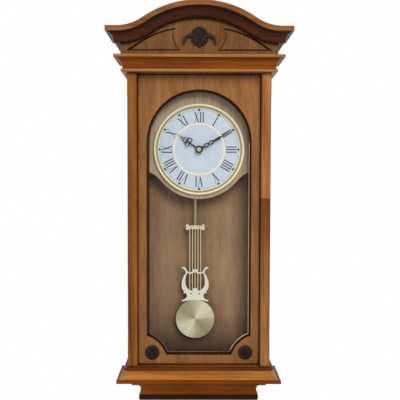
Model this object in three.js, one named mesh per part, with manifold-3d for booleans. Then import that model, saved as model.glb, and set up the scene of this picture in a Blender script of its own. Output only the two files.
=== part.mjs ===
// A quartz pendulum wall clock in a wooden case: arched crown, glazed arched door, round dial,
// lyre pendulum, and the movement behind the dial.
//
// Millimetres. The clock faces -Y, +X is to the right of someone facing it, +Z is up, and the wall
// is the plane y = 0. Heights are drawn from the underside of the foot, and the whole group is then
// lowered so that the origin is the point where the clock hangs.

import * as THREE from 'three';
import { mergeVertices } from 'three/addons/utils/BufferGeometryUtils.js';
import Module from 'manifold-3d';

const wasm = await Module();
wasm.setup();

// ---------------------------------------------------------------- driving dimensions

const GAP = 0.3;                    // between pieces that touch
const MITRE_GAP = 0.2;              // taken off each side of a mitre
const FRONT_RUN_SEGMENTS = 6;       // per curve in a moulding's profile

// Case. Overhangs are measured outwards from the side boards' outer and front faces.
const CASE_HALF_WIDTH = 123.5;
const CASE_FRONT = -79;
const SIDE_THICKNESS = 16.5;
const INNER_HALF_WIDTH = CASE_HALF_WIDTH - SIDE_THICKNESS;
const SIDE_BOTTOM = 39.9;
const SIDE_TOP = 589.6;
const INNER_BEVEL = 1.5;
const CHAMFER = 3;
const CHAMFER_BOTTOM = 106.8;
const CHAMFER_TOP = 533.5;
const BACK_THICKNESS = 4;
const FLOOR_TOP = 65.3;
const CEILING = 573;
const CASE_BOARD_THICKNESS = 12;
const SERVICE_OPENING = { halfWidth: 50, bottom: 385, top: 500 };

// Foot and base moulding.
const FOOT_PLATE_TOP = 9.4;
const FOOT_OVERHANG = -18;
const FOOT_NECK = { overhang: -21.2, height: 19 };
const FOOT_COVE_OVERHANG = -5.5;
const FOOT_COVE_HEIGHT = 11.5;
const FOOT_INNER_OVERHANG = -36;
const BASE_FILLET = { overhang: 18.3, top: 45.5 };
const BASE_COVE_RADIUS = 14.1;
const BASE_BEAD_RADIUS = 2.4;

// Cornice and frieze.
const CORNICE_BOTTOM = 573.6;
const CORNICE_TOP = 601.6;
const CORNICE_BEAD_RADIUS = 2.6;
const CORNICE_STEP = { overhang: 7.3, height: 581.6 };
const CORNICE_FASCIA = { overhang: 21, bottom: 596.7 };
const FRIEZE_OVERHANG = 9.8;
const FRIEZE_HALF_WIDTH = CASE_HALF_WIDTH + FRIEZE_OVERHANG;
const FRIEZE_FRONT = CASE_FRONT - FRIEZE_OVERHANG;
const FRIEZE_THICKNESS = 12;
const GROOVE_DEPTH = 1.6;
const GROOVE_WIDTH = 2.2;

// Crown: a central arc, a reversed fillet arc each side, and a flat shoulder out to the corner.
const APEX_HEIGHT = 688.8;
const SHOULDER_HEIGHT = 646;
const CROWN_RADIUS = 168;
const FILLET_RADIUS = 76.6;
const CROWN_OVERHANG = 33.5;
const CROWN_FASCIA = 8.5;
const CROWN_DEPTH = 25.5;
const CROWN_FOOT_OVERHANG = 18.7;
const ROOF_THICKNESS = 4;
const ARC_STEPS = 9;
const FILLET_STEPS = 5;

// Door.
const DOOR_HALF_WIDTH = 105.5;
const DOOR_BOTTOM = 67.5;
const DOOR_TOP = 571.5;
const DOOR_FRONT = -65;
const DOOR_BACK = -53;
const OPENING_HALF_WIDTH = 90.2;
const OPENING_BOTTOM = 83.4;
const ARCH_CENTRE = 455.7;
const LOBE_LEG = 33.5;
const LOBE_RADIUS = 54;
const GLASS_FRAME_WIDTH = 3;
const GLASS_OVERLAP = 5;
const GLASS_THICKNESS = 2;
const PIVOT = { x: 99.5, y: -61.3, pinRadius: 1.2, boreRadius: 1.6, reach: 6 };
const ROSETTE = { x: 81.7, height: 86.7, radius: 13.1 };

// Dial and hands.
const DIAL_HEIGHT = 444.2;
const DIAL_BOARD = { front: -38, back: -33, radius: 87.7, flareX: 108.3, flareRadius: 52 };
const DIAL_RADIUS = 76.5;
const DIAL_RING = { inner: 43.1, outer: 46.3, front: -40.5 };
const BEZEL = { inner: 75, outer: 80.4, front: -44 };
const HOUR_HAND_ANGLE = 305;
const MINUTE_HAND_ANGLE = 60;
const HOUR_HAND_LENGTH = 48.2;
const MINUTE_HAND_LENGTH = 72.5;
const HAND_THICKNESS = 0.6;
const DEPTHS = {
  nut: [-49.3, -46.7], minuteHand: -46.4, hourHand: -44,
  hourWheel: [-30.8, -29.3], minutePinion: [-28.9, -27], motionWheel: [-28.6, -27.3],
  knobWheel: [-28.5, -27.4],
};

// Movement. The motion work turns the hour hand once for twelve turns of the minute hand.
const MOVEMENT = {
  left: -33, right: 27, bottom: 404, top: 482, front: -32.7, split: -22, back: -8, wall: 1.5,
};
const ARBOR_RADIUS = 1.2;
const ARBOR_BORE = 1.6;
const PIPE_RADIUS = 2.5;
const BUSH = { inner: 2.9, outer: 4, front: -42.3 };
const GEAR_CENTRES = 12.5;
const MINUTE_MODULE = GEAR_CENTRES * 2 / (12 + 36);
const HOUR_MODULE = GEAR_CENTRES * 2 / (10 + 40);
const BATTERY = { x: 15.45, y: -16, radius: 7, bottom: 411, length: 50 };

// Pendulum. Depths are the layers of its stack, from the strip at the back to the lyre in front.
const PENDULUM_X = -6.5;
const PENDULUM_PIVOT = 450;
const BOB_HEIGHT = 136.9;
const BOB_RADIUS = 35.7;
const STRIP_DEPTH = { front: -16.3, back: -15.3 };
const ROD_RADIUS = 1.15;
const ROD_SPACING = 4.95;
const ROD_DEPTH = -17.85;
const GRID_TOP = 304.5;
const LYRE_DEPTH = { front: -20.8, back: -19.3 };
const DRIVE_HEIGHT = 420;

const HANG_HEIGHT = 617;
const HANGING_RAIL = { front: -14, back: -2.3, halfHeight: 15 };
const NAIL_ROOM = { radius: 8, depth: 9, drop: 4 };

// ---------------------------------------------------------------- materials

function material(color, roughness, metalness = 0) {
  return () => new THREE.MeshStandardMaterial({ color, roughness, metalness });
}

const oak = material(0x9c6236, 0.45);
const darkOak = material(0x5a2c12, 0.5);
const panelWood = material(0x85603f, 0.55);
const footWood = material(0x2b1610, 0.5);
const carved = material(0x241712, 0.4);
const boardFinish = material(0x96876f, 0.7);
const brass = material(0xb9b184, 0.3, 1);
const gilt = material(0xcdbf8e, 0.3, 1);
const steel = material(0xa9a9a6, 0.35, 1);
const blackMetal = material(0x161616, 0.45, 0.3);
const blackPlastic = material(0x1d1d1f, 0.5);
const whitePlastic = material(0xe6e4de, 0.5);
const dialWhite = material(0xc8d4e4, 0.5);
const circuitGreen = material(0x1f5a35, 0.5);
const copper = material(0xb0673a, 0.35, 1);
const cellFinish = material(0x4a4f57, 0.35, 0.4);
const glass = () => new THREE.MeshStandardMaterial({
  color: 0xf3f6f4, roughness: 0.05, metalness: 0, transparent: true, opacity: 0.2,
});

// ---------------------------------------------------------------- joining and cutting

function toSolid(geometry) {
  const bare = geometry.clone();
  bare.deleteAttribute('normal');
  bare.deleteAttribute('uv');
  const merged = mergeVertices(bare, 1e-4);
  return new wasm.Manifold(new wasm.Mesh({
    numProp: 3,
    vertProperties: new Float32Array(merged.attributes.position.array),
    triVerts: new Uint32Array(merged.index.array),
  }));
}

function combine(operation, first, others) {
  let solid = toSolid(first);
  for (const other of others) solid = solid[operation](toSolid(other));
  const mesh = solid.getMesh();
  const geometry = new THREE.BufferGeometry();
  geometry.setAttribute('position', new THREE.BufferAttribute(mesh.vertProperties, 3));
  geometry.setIndex(new THREE.BufferAttribute(mesh.triVerts, 1));
  geometry.computeVertexNormals();
  return geometry;
}

const join = (first, ...others) => combine('add', first, others);
const cut = (first, ...tools) => combine('subtract', first, tools);
const clip = (first, ...limits) => combine('intersect', first, limits);

// ---------------------------------------------------------------- shape helpers

function board(x0, x1, y0, y1, z0, z1) {
  const box = new THREE.BoxGeometry(x1 - x0, y1 - y0, z1 - z0);
  return box.translate((x0 + x1) / 2, (y0 + y1) / 2, (z0 + z1) / 2);
}

// A shape drawn in x and z, as seen from the front, made solid from y0 back to y1.
function frontExtrusion(shape, y0, y1, curveSegments = 12) {
  const settings = { depth: y1 - y0, bevelEnabled: false, curveSegments };
  return new THREE.ExtrudeGeometry(shape, settings).rotateX(Math.PI / 2).translate(0, y1, 0);
}

// A shape drawn in x and y, as seen from above, made solid from z0 up to z1.
function planExtrusion(shape, z0, z1, curveSegments = 12) {
  const settings = { depth: z1 - z0, bevelEnabled: false, curveSegments };
  return new THREE.ExtrudeGeometry(shape, settings).translate(0, 0, z0);
}

// A round bar along y.
function disc(radius, y0, y1, x, z, segments = 24) {
  const bar = new THREE.CylinderGeometry(radius, radius, y1 - y0, segments);
  return bar.translate(x, (y0 + y1) / 2, z);
}

// A round bar along z.
function upright(radius, z0, z1, x, y, segments = 16) {
  const bar = new THREE.CylinderGeometry(radius, radius, z1 - z0, segments);
  return bar.rotateX(Math.PI / 2).translate(x, y, (z0 + z1) / 2);
}

// A flat ring around the y direction.
function flatRing(inner, outer, y0, y1, x, z, segments = 32) {
  const shape = new THREE.Shape().absarc(x, z, outer, 0, Math.PI * 2);
  shape.holes.push(new THREE.Path().absarc(x, z, inner, 0, Math.PI * 2));
  return frontExtrusion(shape, y0, y1, segments);
}

function polygon(points) {
  return new THREE.Shape(points.map(([x, y]) => new THREE.Vector2(x, y)));
}

// The closed outline whose right half is given from its top point to its bottom point on x = 0,
// turned counter-clockwise, as an extrusion with holes needs it.
function mirrored(half, segments = 12) {
  const right = half.getPoints(segments);
  const left = right.slice(1, -1).reverse().map((point) => new THREE.Vector2(-point.x, point.y));
  return [...right, ...left].reverse();
}

// ---------------------------------------------------------------- mouldings
// A profile is drawn as (overhang, height), and every mitre ends each of its points on the 45 degree
// plane through the case's corner.

function profileRun(profile, steps = 1) {
  const settings = { depth: 1, steps, bevelEnabled: false, curveSegments: FRONT_RUN_SEGMENTS };
  return new THREE.ExtrudeGeometry(profile, settings);
}

function mapVertices(geometry, place) {
  const position = geometry.attributes.position;
  for (let i = 0; i < position.count; i++) {
    const { x, y, z } = place(position.getX(i), position.getY(i), position.getZ(i));
    position.setXYZ(i, x, y, z);
  }
  return geometry;
}

function frontMoulding(profile) {
  return mapVertices(profileRun(profile), (overhang, height, along) => ({
    x: (1 - 2 * along) * (CASE_HALF_WIDTH + overhang - MITRE_GAP),
    y: CASE_FRONT - overhang,
    z: height,
  }));
}

function sideMoulding(profile, side) {
  return mapVertices(profileRun(profile), (overhang, height, along) => {
    const atFront = (along > 0.5) === (side > 0);
    return {
      x: side * (CASE_HALF_WIDTH + overhang),
      y: atFront ? CASE_FRONT - overhang + MITRE_GAP : 0,
      z: height,
    };
  });
}

// ---------------------------------------------------------------- case

function sideBoard(side) {
  const x0 = side * INNER_HALF_WIDTH;
  const x1 = side * CASE_HALF_WIDTH;
  const plan = polygon([
    [x0, 0], [x0, CASE_FRONT + INNER_BEVEL], [x0 + side * INNER_BEVEL, CASE_FRONT],
    [x1, CASE_FRONT], [x1, 0],
  ]);
  const blank = planExtrusion(plan, SIDE_BOTTOM, SIDE_TOP);
  return cut(blank, stoppedChamfer(side));
}

// The cutter of the stopped chamfer: its depth is measured along the corner's diagonal, and its ends
// rise out of the corner at a slope.
function stoppedChamfer(side) {
  const depth = CHAMFER / Math.SQRT2;
  const outside = -2;
  const slope = 1.5;
  const outline = polygon([
    [outside, CHAMFER_BOTTOM + outside * slope], [depth, CHAMFER_BOTTOM + depth * slope],
    [depth, CHAMFER_TOP - depth * slope], [outside, CHAMFER_TOP - outside * slope],
  ]);
  const width = 12;
  const inward = new THREE.Vector3(-side, 1, 0).normalize();
  const up = new THREE.Vector3(0, 0, 1);
  const across = new THREE.Vector3().crossVectors(inward, up);
  const corner = new THREE.Vector3(side * CASE_HALF_WIDTH, CASE_FRONT, 0);
  const turn = new THREE.Matrix4().makeBasis(inward, up, across).setPosition(corner);
  return planExtrusion(outline, -width / 2, width / 2).applyMatrix4(turn);
}

function backPanel() {
  const half = INNER_HALF_WIDTH - GAP;
  const { halfWidth, bottom, top } = SERVICE_OPENING;
  return cut(
    board(-half, half, -BACK_THICKNESS, 0, SIDE_BOTTOM, SIDE_TOP),
    board(-halfWidth, halfWidth, -BACK_THICKNESS - 1, 1, bottom, top),
  );
}

// A board between the side boards that carries one pin of the door's pivot.
function caseBoard(bottom) {
  const half = INNER_HALF_WIDTH - GAP;
  const top = bottom + CASE_BOARD_THICKNESS;
  return cut(
    board(-half, half, CASE_FRONT, -BACK_THICKNESS - GAP, bottom, top),
    upright(PIVOT.boreRadius, bottom - 1, top + 1, PIVOT.x, PIVOT.y),
  );
}

function corniceCapBoard() {
  const half = CASE_HALF_WIDTH;
  return board(-half, half, CASE_FRONT, 0, SIDE_TOP + GAP, CORNICE_TOP);
}

// ---------------------------------------------------------------- foot, base and cornice

function footProfile() {
  const top = SIDE_BOTTOM - GAP;
  const bottom = FOOT_PLATE_TOP + GAP;
  const neck = FOOT_NECK;
  const profile = new THREE.Shape();
  profile.moveTo(FOOT_INNER_OVERHANG, bottom);
  profile.lineTo(FOOT_OVERHANG, bottom);
  profile.quadraticCurveTo(neck.overhang, bottom + 2, neck.overhang, neck.height);
  const coveWidth = FOOT_COVE_OVERHANG - neck.overhang;
  profile.absellipse(
    FOOT_COVE_OVERHANG, neck.height, coveWidth, FOOT_COVE_HEIGHT, Math.PI, Math.PI / 2, true);
  profile.lineTo(FOOT_COVE_OVERHANG, top);
  profile.lineTo(FOOT_INNER_OVERHANG, top);
  return profile;
}

function footPlate() {
  const half = CASE_HALF_WIDTH + FOOT_OVERHANG;
  const front = CASE_FRONT - FOOT_OVERHANG;
  const round = 3;
  const section = new THREE.Shape();
  section.moveTo(-half, FOOT_PLATE_TOP);
  section.lineTo(-half, round);
  section.absarc(-half + round, round, round, Math.PI, Math.PI * 1.5, false);
  section.absarc(half - round, round, round, -Math.PI / 2, 0, false);
  section.lineTo(half, FOOT_PLATE_TOP);
  return frontExtrusion(section, front, 0, 5);
}

function baseProfile() {
  const { overhang, top } = BASE_FILLET;
  const cove = BASE_COVE_RADIUS;
  const bead = BASE_BEAD_RADIUS;
  const coveOverhang = overhang - 1.5;
  const stepOverhang = coveOverhang - cove;
  const beadCentre = stepOverhang + 1.5;
  const beadBottom = top + cove + 0.6;
  const profile = new THREE.Shape();
  profile.moveTo(GAP, SIDE_BOTTOM);
  profile.lineTo(overhang, SIDE_BOTTOM);
  profile.lineTo(overhang, top);
  profile.absarc(coveOverhang, top + cove, cove, -Math.PI / 2, -Math.PI, true);
  profile.lineTo(stepOverhang, beadBottom);
  profile.absarc(beadCentre, beadBottom + bead, bead, -Math.PI / 2, Math.PI / 2, false);
  profile.lineTo(GAP, beadBottom + 2 * bead);
  return profile;
}

function corniceProfile() {
  const bead = CORNICE_BEAD_RADIUS;
  const step = CORNICE_STEP;
  const fascia = CORNICE_FASCIA;
  const coveEnd = fascia.overhang - 2;
  const profile = new THREE.Shape();
  profile.moveTo(GAP, CORNICE_BOTTOM);
  profile.absarc(step.overhang + GAP, CORNICE_BOTTOM + bead, bead, -Math.PI / 2, Math.PI / 2, false);
  profile.lineTo(step.overhang, CORNICE_BOTTOM + 2 * bead);
  profile.lineTo(step.overhang, step.height);
  profile.absellipse(coveEnd, step.height, coveEnd - step.overhang, fascia.bottom - step.height,
    Math.PI, Math.PI / 2, true);
  profile.lineTo(fascia.overhang, fascia.bottom);
  profile.lineTo(fascia.overhang, CORNICE_TOP);
  profile.lineTo(GAP, CORNICE_TOP);
  return profile;
}

// ---------------------------------------------------------------- crown

const CROWN_CENTRE = APEX_HEIGHT - CROWN_RADIUS;
const FILLET_CENTRE = SHOULDER_HEIGHT + FILLET_RADIUS;
const CROWN_ANGLE = Math.acos((FILLET_CENTRE - CROWN_CENTRE) / (CROWN_RADIUS + FILLET_RADIUS));
const FILLET_X = (CROWN_RADIUS + FILLET_RADIUS) * Math.sin(CROWN_ANGLE);
const HALF_STEPS = ARC_STEPS + FILLET_STEPS + 1;

// The crown's outline, or the curve parallel to it at a rise above it. Place runs from -1 at the left
// end to 1 at the right end, and endX is where the flat shoulders stop.
function crownPoint(place, rise, endX) {
  const side = Math.sign(place);
  const step = Math.abs(place) * HALF_STEPS;
  if (step <= ARC_STEPS) {
    const angle = CROWN_ANGLE * step / ARC_STEPS;
    const radius = CROWN_RADIUS + rise;
    return new THREE.Vector2(side * radius * Math.sin(angle), CROWN_CENTRE + radius * Math.cos(angle));
  }
  if (step <= ARC_STEPS + FILLET_STEPS) {
    const angle = CROWN_ANGLE * (1 - (step - ARC_STEPS) / FILLET_STEPS);
    const radius = FILLET_RADIUS - rise;
    return new THREE.Vector2(
      side * (FILLET_X - radius * Math.sin(angle)), FILLET_CENTRE - radius * Math.cos(angle));
  }
  const beyond = step - ARC_STEPS - FILLET_STEPS;
  return new THREE.Vector2(side * (FILLET_X + beyond * (endX - FILLET_X)), SHOULDER_HEIGHT + rise);
}

function crownCurve(rise, endX) {
  const points = [];
  for (let step = -HALF_STEPS; step <= HALF_STEPS; step++) {
    points.push(crownPoint(step / HALF_STEPS, rise, endX));
  }
  return points;
}

// Drawn as (overhang, rise), with the crown's outline at rise 0.
function crownProfile() {
  const wall = FRIEZE_OVERHANG + GAP;
  const step = 4;
  const lip = 1.5;
  const coveTop = CROWN_OVERHANG - step;
  const coveBottom = CROWN_FOOT_OVERHANG + lip;
  const coveHeight = CROWN_DEPTH - CROWN_FASCIA - 2 * lip;
  const profile = new THREE.Shape();
  profile.moveTo(wall, 0);
  profile.lineTo(wall, -CROWN_DEPTH);
  profile.lineTo(CROWN_FOOT_OVERHANG, -CROWN_DEPTH);
  profile.lineTo(CROWN_FOOT_OVERHANG, -CROWN_DEPTH + lip);
  profile.absellipse(coveTop, -CROWN_DEPTH + lip, coveTop - coveBottom, coveHeight,
    Math.PI, Math.PI / 2, true);
  profile.lineTo(coveTop, -CROWN_FASCIA);
  profile.lineTo(CROWN_OVERHANG, -CROWN_FASCIA);
  profile.lineTo(CROWN_OVERHANG, 0);
  return profile;
}

// The arched front moulding runs past both corners and is then cut back to the mitre planes.
function crownMoulding() {
  const beyond = CASE_HALF_WIDTH + CROWN_OVERHANG + 5;
  const run = mapVertices(profileRun(crownProfile(), 2 * HALF_STEPS), (overhang, rise, along) => {
    const point = crownPoint(1 - 2 * along, rise, beyond);
    return { x: point.x, y: CASE_FRONT - overhang, z: point.y };
  });
  const mitre = (side, overhang) => [
    side * (CASE_HALF_WIDTH + overhang - MITRE_GAP), CASE_FRONT - overhang,
  ];
  const plan = polygon([mitre(-1, 0), mitre(-1, 50), mitre(1, 50), mitre(1, 0)]);
  return clip(run, planExtrusion(plan, SHOULDER_HEIGHT - 50, APEX_HEIGHT + 5));
}

function crownReturn(side) {
  return sideMoulding(crownProfile(), side).translate(0, 0, SHOULDER_HEIGHT);
}

function roofSheet() {
  const outer = crownCurve(0, CASE_HALF_WIDTH + CROWN_OVERHANG);
  const inner = crownCurve(-ROOF_THICKNESS, CASE_HALF_WIDTH + CROWN_OVERHANG);
  const sheet = frontExtrusion(new THREE.Shape([...outer, ...inner.reverse()]), FRIEZE_FRONT, 0);
  return clip(sheet, friezeLimits(0));
}

function friezeLimits(back) {
  const half = FRIEZE_HALF_WIDTH;
  return board(-half, half, FRIEZE_FRONT, back, CORNICE_TOP + GAP, APEX_HEIGHT + 1);
}

// One engraved panel: a pointed triangle with a hollow side towards the middle. It shrinks evenly
// about its inscribed circle.
function groovePanel(side, inset) {
  const centre = { x: 54, height: 624.4, radius: 15.7 };
  const scale = 1 - inset / centre.radius;
  const at = (x, height) => [
    side * (centre.x + (x - centre.x) * scale),
    centre.height + (height - centre.height) * scale,
  ];
  const outline = new THREE.Shape();
  outline.moveTo(...at(124, 608.7));
  outline.lineTo(...at(31.8, 608.7));
  outline.quadraticCurveTo(...at(52.3, 632.3), ...at(39.7, 646.8));
  outline.quadraticCurveTo(...at(82.2, 641), ...at(124, 608.7));
  return outline;
}

function groove(side) {
  const bottom = FRIEZE_FRONT + GROOVE_DEPTH;
  const outer = frontExtrusion(groovePanel(side, 0), FRIEZE_FRONT - 1, bottom);
  const inner = frontExtrusion(groovePanel(side, GROOVE_WIDTH), FRIEZE_FRONT - 2, bottom + 1);
  return cut(outer, inner);
}

function friezeBoard() {
  const top = crownCurve(-ROOF_THICKNESS - GAP, CASE_HALF_WIDTH + CROWN_OVERHANG);
  const corners = [top[top.length - 1], top[0]].map((end) => new THREE.Vector2(end.x, CORNICE_TOP));
  const back = FRIEZE_FRONT + FRIEZE_THICKNESS;
  const blank = frontExtrusion(new THREE.Shape([...top, ...corners]), FRIEZE_FRONT, back);
  return cut(clip(blank, friezeLimits(back)), groove(-1), groove(1));
}

function friezeSide(side) {
  const outer = side * FRIEZE_HALF_WIDTH;
  const inner = outer - side * FRIEZE_THICKNESS;
  const front = FRIEZE_FRONT + FRIEZE_THICKNESS + GAP;
  const top = SHOULDER_HEIGHT - ROOF_THICKNESS - GAP;
  return board(Math.min(inner, outer), Math.max(inner, outer), front, 0, CORNICE_TOP + GAP, top);
}

// ---------------------------------------------------------------- carved ornaments

// A leaf or petal: a flattened ball stretched along its own direction.
function petal(x, z, face, length, width, thickness, angle) {
  const ball = new THREE.SphereGeometry(1, 8, 6).scale(width / 2, thickness, length / 2);
  return ball.rotateY(angle).translate(x, face, z);
}

function crestOrnament() {
  const face = FRIEZE_FRONT - GAP;
  const heart = 631;
  const pieces = [petal(0, heart, face, 7, 9.4, 7, 0), petal(0, heart - 8, face, 15, 9, 3.5, 0)];
  for (let leaf = -3; leaf <= 3; leaf++) {
    const angle = leaf * 0.42;
    const reach = 10.5 - 0.35 * Math.abs(leaf);
    pieces.push(petal(reach * Math.sin(angle), heart + reach * Math.cos(angle), face, 18, 8, 5, angle));
  }
  for (const side of [-1, 1]) {
    pieces.push(petal(side * 9.2, heart - 4.6, face, 12.5, 11, 4.5, side * 0.9));
    const horn = new THREE.EllipseCurve(side * 14, heart - 7.4, 12.4, 12, side > 0 ? 2 : Math.PI - 2,
      side > 0 ? -0.15 : Math.PI + 0.15, side > 0);
    const route = horn.getPoints(9).map((point) => new THREE.Vector3(point.x, face, point.y));
    const section = new THREE.Shape().absarc(0, 0, 2.2, 0, Math.PI * 2);
    pieces.push(new THREE.ExtrudeGeometry(section, {
      steps: 9, curveSegments: 4, extrudePath: new THREE.CatmullRomCurve3(route),
    }));
  }
  const halfBox = board(-40, 40, face - 10, face, heart - 30, heart + 30);
  return clip(join(...pieces), halfBox);
}

function rosette(side) {
  const face = DOOR_FRONT - GAP;
  const x = side * ROSETTE.x;
  const { height, radius } = ROSETTE;
  const petals = 8;
  const pieces = [
    disc(radius - 1.6, face - 1.2, face, x, height, 24),
    petal(x, height, face, 9, 9, 3.4, 0),
  ];
  for (let i = 0; i < petals; i++) {
    const angle = (i + 0.5) * Math.PI * 2 / petals;
    const reach = radius * 0.62;
    pieces.push(petal(x + reach * Math.sin(angle), height + reach * Math.cos(angle),
      face, radius * 0.76, radius * 0.52, 2.5, angle));
  }
  const halfBox = board(x - 20, x + 20, face - 10, face, height - 20, height + 20);
  return clip(join(...pieces), halfBox);
}

// ---------------------------------------------------------------- hanging hardware

function hangingRail() {
  const half = FRIEZE_HALF_WIDTH - FRIEZE_THICKNESS - GAP;
  const { front, back, halfHeight } = HANGING_RAIL;
  const rail = board(-half, half, front, back, HANG_HEIGHT - halfHeight, HANG_HEIGHT + halfHeight);
  return cut(rail, disc(NAIL_ROOM.radius, -NAIL_ROOM.depth, 0, 0, HANG_HEIGHT - NAIL_ROOM.drop));
}

// A steel plate with a keyhole: the nail's head goes in at the bottom and the slot's top hangs on it.
function hangerPlate() {
  const plate = polygon([[-25, -10], [25, -10], [25, 8], [-25, 8]]);
  const slotRadius = 2.2;
  const keyhole = new THREE.Path();
  keyhole.absarc(0, -slotRadius, slotRadius, 0, Math.PI, false);
  keyhole.lineTo(-slotRadius, -4);
  keyhole.absarc(0, -5, 4.2, Math.PI * 0.7, Math.PI * 2.3, false);
  plate.holes.push(keyhole);
  for (const x of [-20, 20]) plate.holes.push(new THREE.Path().absarc(x, -1, 1.8, 0, Math.PI * 2));
  return frontExtrusion(plate, -2, -0.4, 6).translate(0, 0, HANG_HEIGHT);
}

// ---------------------------------------------------------------- door

// The door's opening: a half-round arch, straight sides, and a round lobe across each lower corner.
function openingOutline(inset) {
  const half = OPENING_HALF_WIDTH - inset;
  const bottom = OPENING_BOTTOM + inset;
  const chordHalf = LOBE_LEG / Math.SQRT2;
  const fromCorner = (Math.sqrt(LOBE_RADIUS ** 2 - chordHalf ** 2) - chordHalf) / Math.SQRT2;
  const centreX = OPENING_HALF_WIDTH + fromCorner;
  const centreZ = OPENING_BOTTOM - fromCorner;
  const radius = LOBE_RADIUS + inset;
  const sideAngle = Math.acos((half - centreX) / radius);
  const bottomAngle = Math.PI - Math.asin((bottom - centreZ) / radius);
  const outline = new THREE.Path();
  outline.absarc(0, ARCH_CENTRE, half, Math.PI / 2, 0, true);
  outline.absarc(centreX, centreZ, radius, sideAngle, bottomAngle, false);
  outline.lineTo(0, bottom);
  return mirrored(outline, 9);
}

function doorPanel() {
  const shape = polygon([
    [-DOOR_HALF_WIDTH, DOOR_BOTTOM], [DOOR_HALF_WIDTH, DOOR_BOTTOM],
    [DOOR_HALF_WIDTH, DOOR_TOP], [-DOOR_HALF_WIDTH, DOOR_TOP],
  ]);
  shape.holes.push(new THREE.Path(openingOutline(0)));
  const { x, y, boreRadius, reach } = PIVOT;
  return cut(
    frontExtrusion(shape, DOOR_FRONT, DOOR_BACK),
    upright(boreRadius, DOOR_BOTTOM - 1, DOOR_BOTTOM + reach, x, y),
    upright(boreRadius, DOOR_TOP - reach, DOOR_TOP + 1, x, y),
  );
}

function glassFrame() {
  const front = DOOR_BACK - 4;
  const inner = new THREE.Shape(openingOutline(GAP + GLASS_FRAME_WIDTH));
  return cut(
    frontExtrusion(new THREE.Shape(openingOutline(GAP)), front, DOOR_BACK),
    frontExtrusion(inner, front - 1, DOOR_BACK + 1),
  );
}

function doorGlass() {
  const front = DOOR_BACK + GAP;
  return frontExtrusion(new THREE.Shape(openingOutline(-GLASS_OVERLAP)), front, front + GLASS_THICKNESS);
}

function pivotPin(z0, z1) {
  return upright(PIVOT.pinRadius, z0, z1, PIVOT.x, PIVOT.y, 12);
}

// A magnet block on the left side board, and the steel plate on the back of the door that it holds.
const CATCH = { bottom: 306, top: 340, inner: -97, depth: 14, plate: 1.2 };

function magnetCatch() {
  const y0 = DOOR_BACK + GAP + CATCH.plate + GAP;
  return board(-INNER_HALF_WIDTH + GAP, CATCH.inner, y0, y0 + CATCH.depth, CATCH.bottom, CATCH.top);
}

function strikePlate() {
  const y0 = DOOR_BACK + GAP;
  return board(-DOOR_HALF_WIDTH + 1, -OPENING_HALF_WIDTH - GLASS_OVERLAP - 1, y0, y0 + CATCH.plate,
    CATCH.bottom + 3, CATCH.top - 3);
}

// ---------------------------------------------------------------- dial

function dialBoard() {
  const { front, back, radius, flareX, flareRadius } = DIAL_BOARD;
  const reach = radius + flareRadius;
  const drop = Math.sqrt(reach ** 2 - flareX ** 2);
  const half = INNER_HALF_WIDTH - GAP;
  const tangent = Math.atan2(drop, flareX);
  const outline = new THREE.Path();
  outline.moveTo(0, CEILING - GAP);
  outline.lineTo(half, CEILING - GAP);
  outline.absarc(flareX, DIAL_HEIGHT - drop, flareRadius,
    Math.acos((half - flareX) / flareRadius), Math.PI - tangent, false);
  outline.absarc(0, DIAL_HEIGHT, radius, -tangent, -Math.PI / 2, true);
  const blank = frontExtrusion(new THREE.Shape(mirrored(outline)), front, back);
  return cut(blank, disc(BUSH.outer + GAP, front - 1, back + 1, 0, DIAL_HEIGHT));
}

function dialBoardCleat(side) {
  const outer = side * (INNER_HALF_WIDTH - GAP);
  const inner = outer - side * 12;
  const front = DIAL_BOARD.back + GAP;
  return board(Math.min(inner, outer), Math.max(inner, outer), front, front + 14, 415, CEILING - GAP);
}

// A thin plate around the bush, with a raised ring inside the numerals.
function dialPlate() {
  const back = DIAL_BOARD.front - GAP;
  const front = back - 1;
  return join(
    flatRing(BUSH.outer + GAP, DIAL_RADIUS, front, back, 0, DIAL_HEIGHT, 24),
    flatRing(DIAL_RING.inner, DIAL_RING.outer, DIAL_RING.front, front + 0.5, 0, DIAL_HEIGHT, 24),
  );
}

// A rolled ring with a sloping inner band, drawn as (radius, depth).
function dialBezel() {
  const { inner, outer, front } = BEZEL;
  const back = DIAL_BOARD.front - GAP;
  const plateFront = back - 1 - GAP;
  const roll = 1.6;
  const profile = new THREE.Shape();
  profile.moveTo(DIAL_RADIUS + GAP, back);
  profile.lineTo(DIAL_RADIUS + GAP, plateFront);
  profile.lineTo(inner, plateFront);
  profile.lineTo(outer - 2 * roll, front + roll);
  profile.absarc(outer - roll, front + roll, roll, Math.PI, Math.PI * 2, false);
  profile.lineTo(outer, back);
  const points = profile.getPoints(4);
  points.push(points[0].clone());
  return new THREE.LatheGeometry(points, 40).translate(0, 0, DIAL_HEIGHT);
}

// ---------------------------------------------------------------- hands
// A hand is drawn pointing up from its hub at the origin, then turned clockwise to its place.

function placeHand(geometry, angle) {
  return geometry.rotateY(THREE.MathUtils.degToRad(angle)).translate(0, 0, DIAL_HEIGHT);
}

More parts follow.
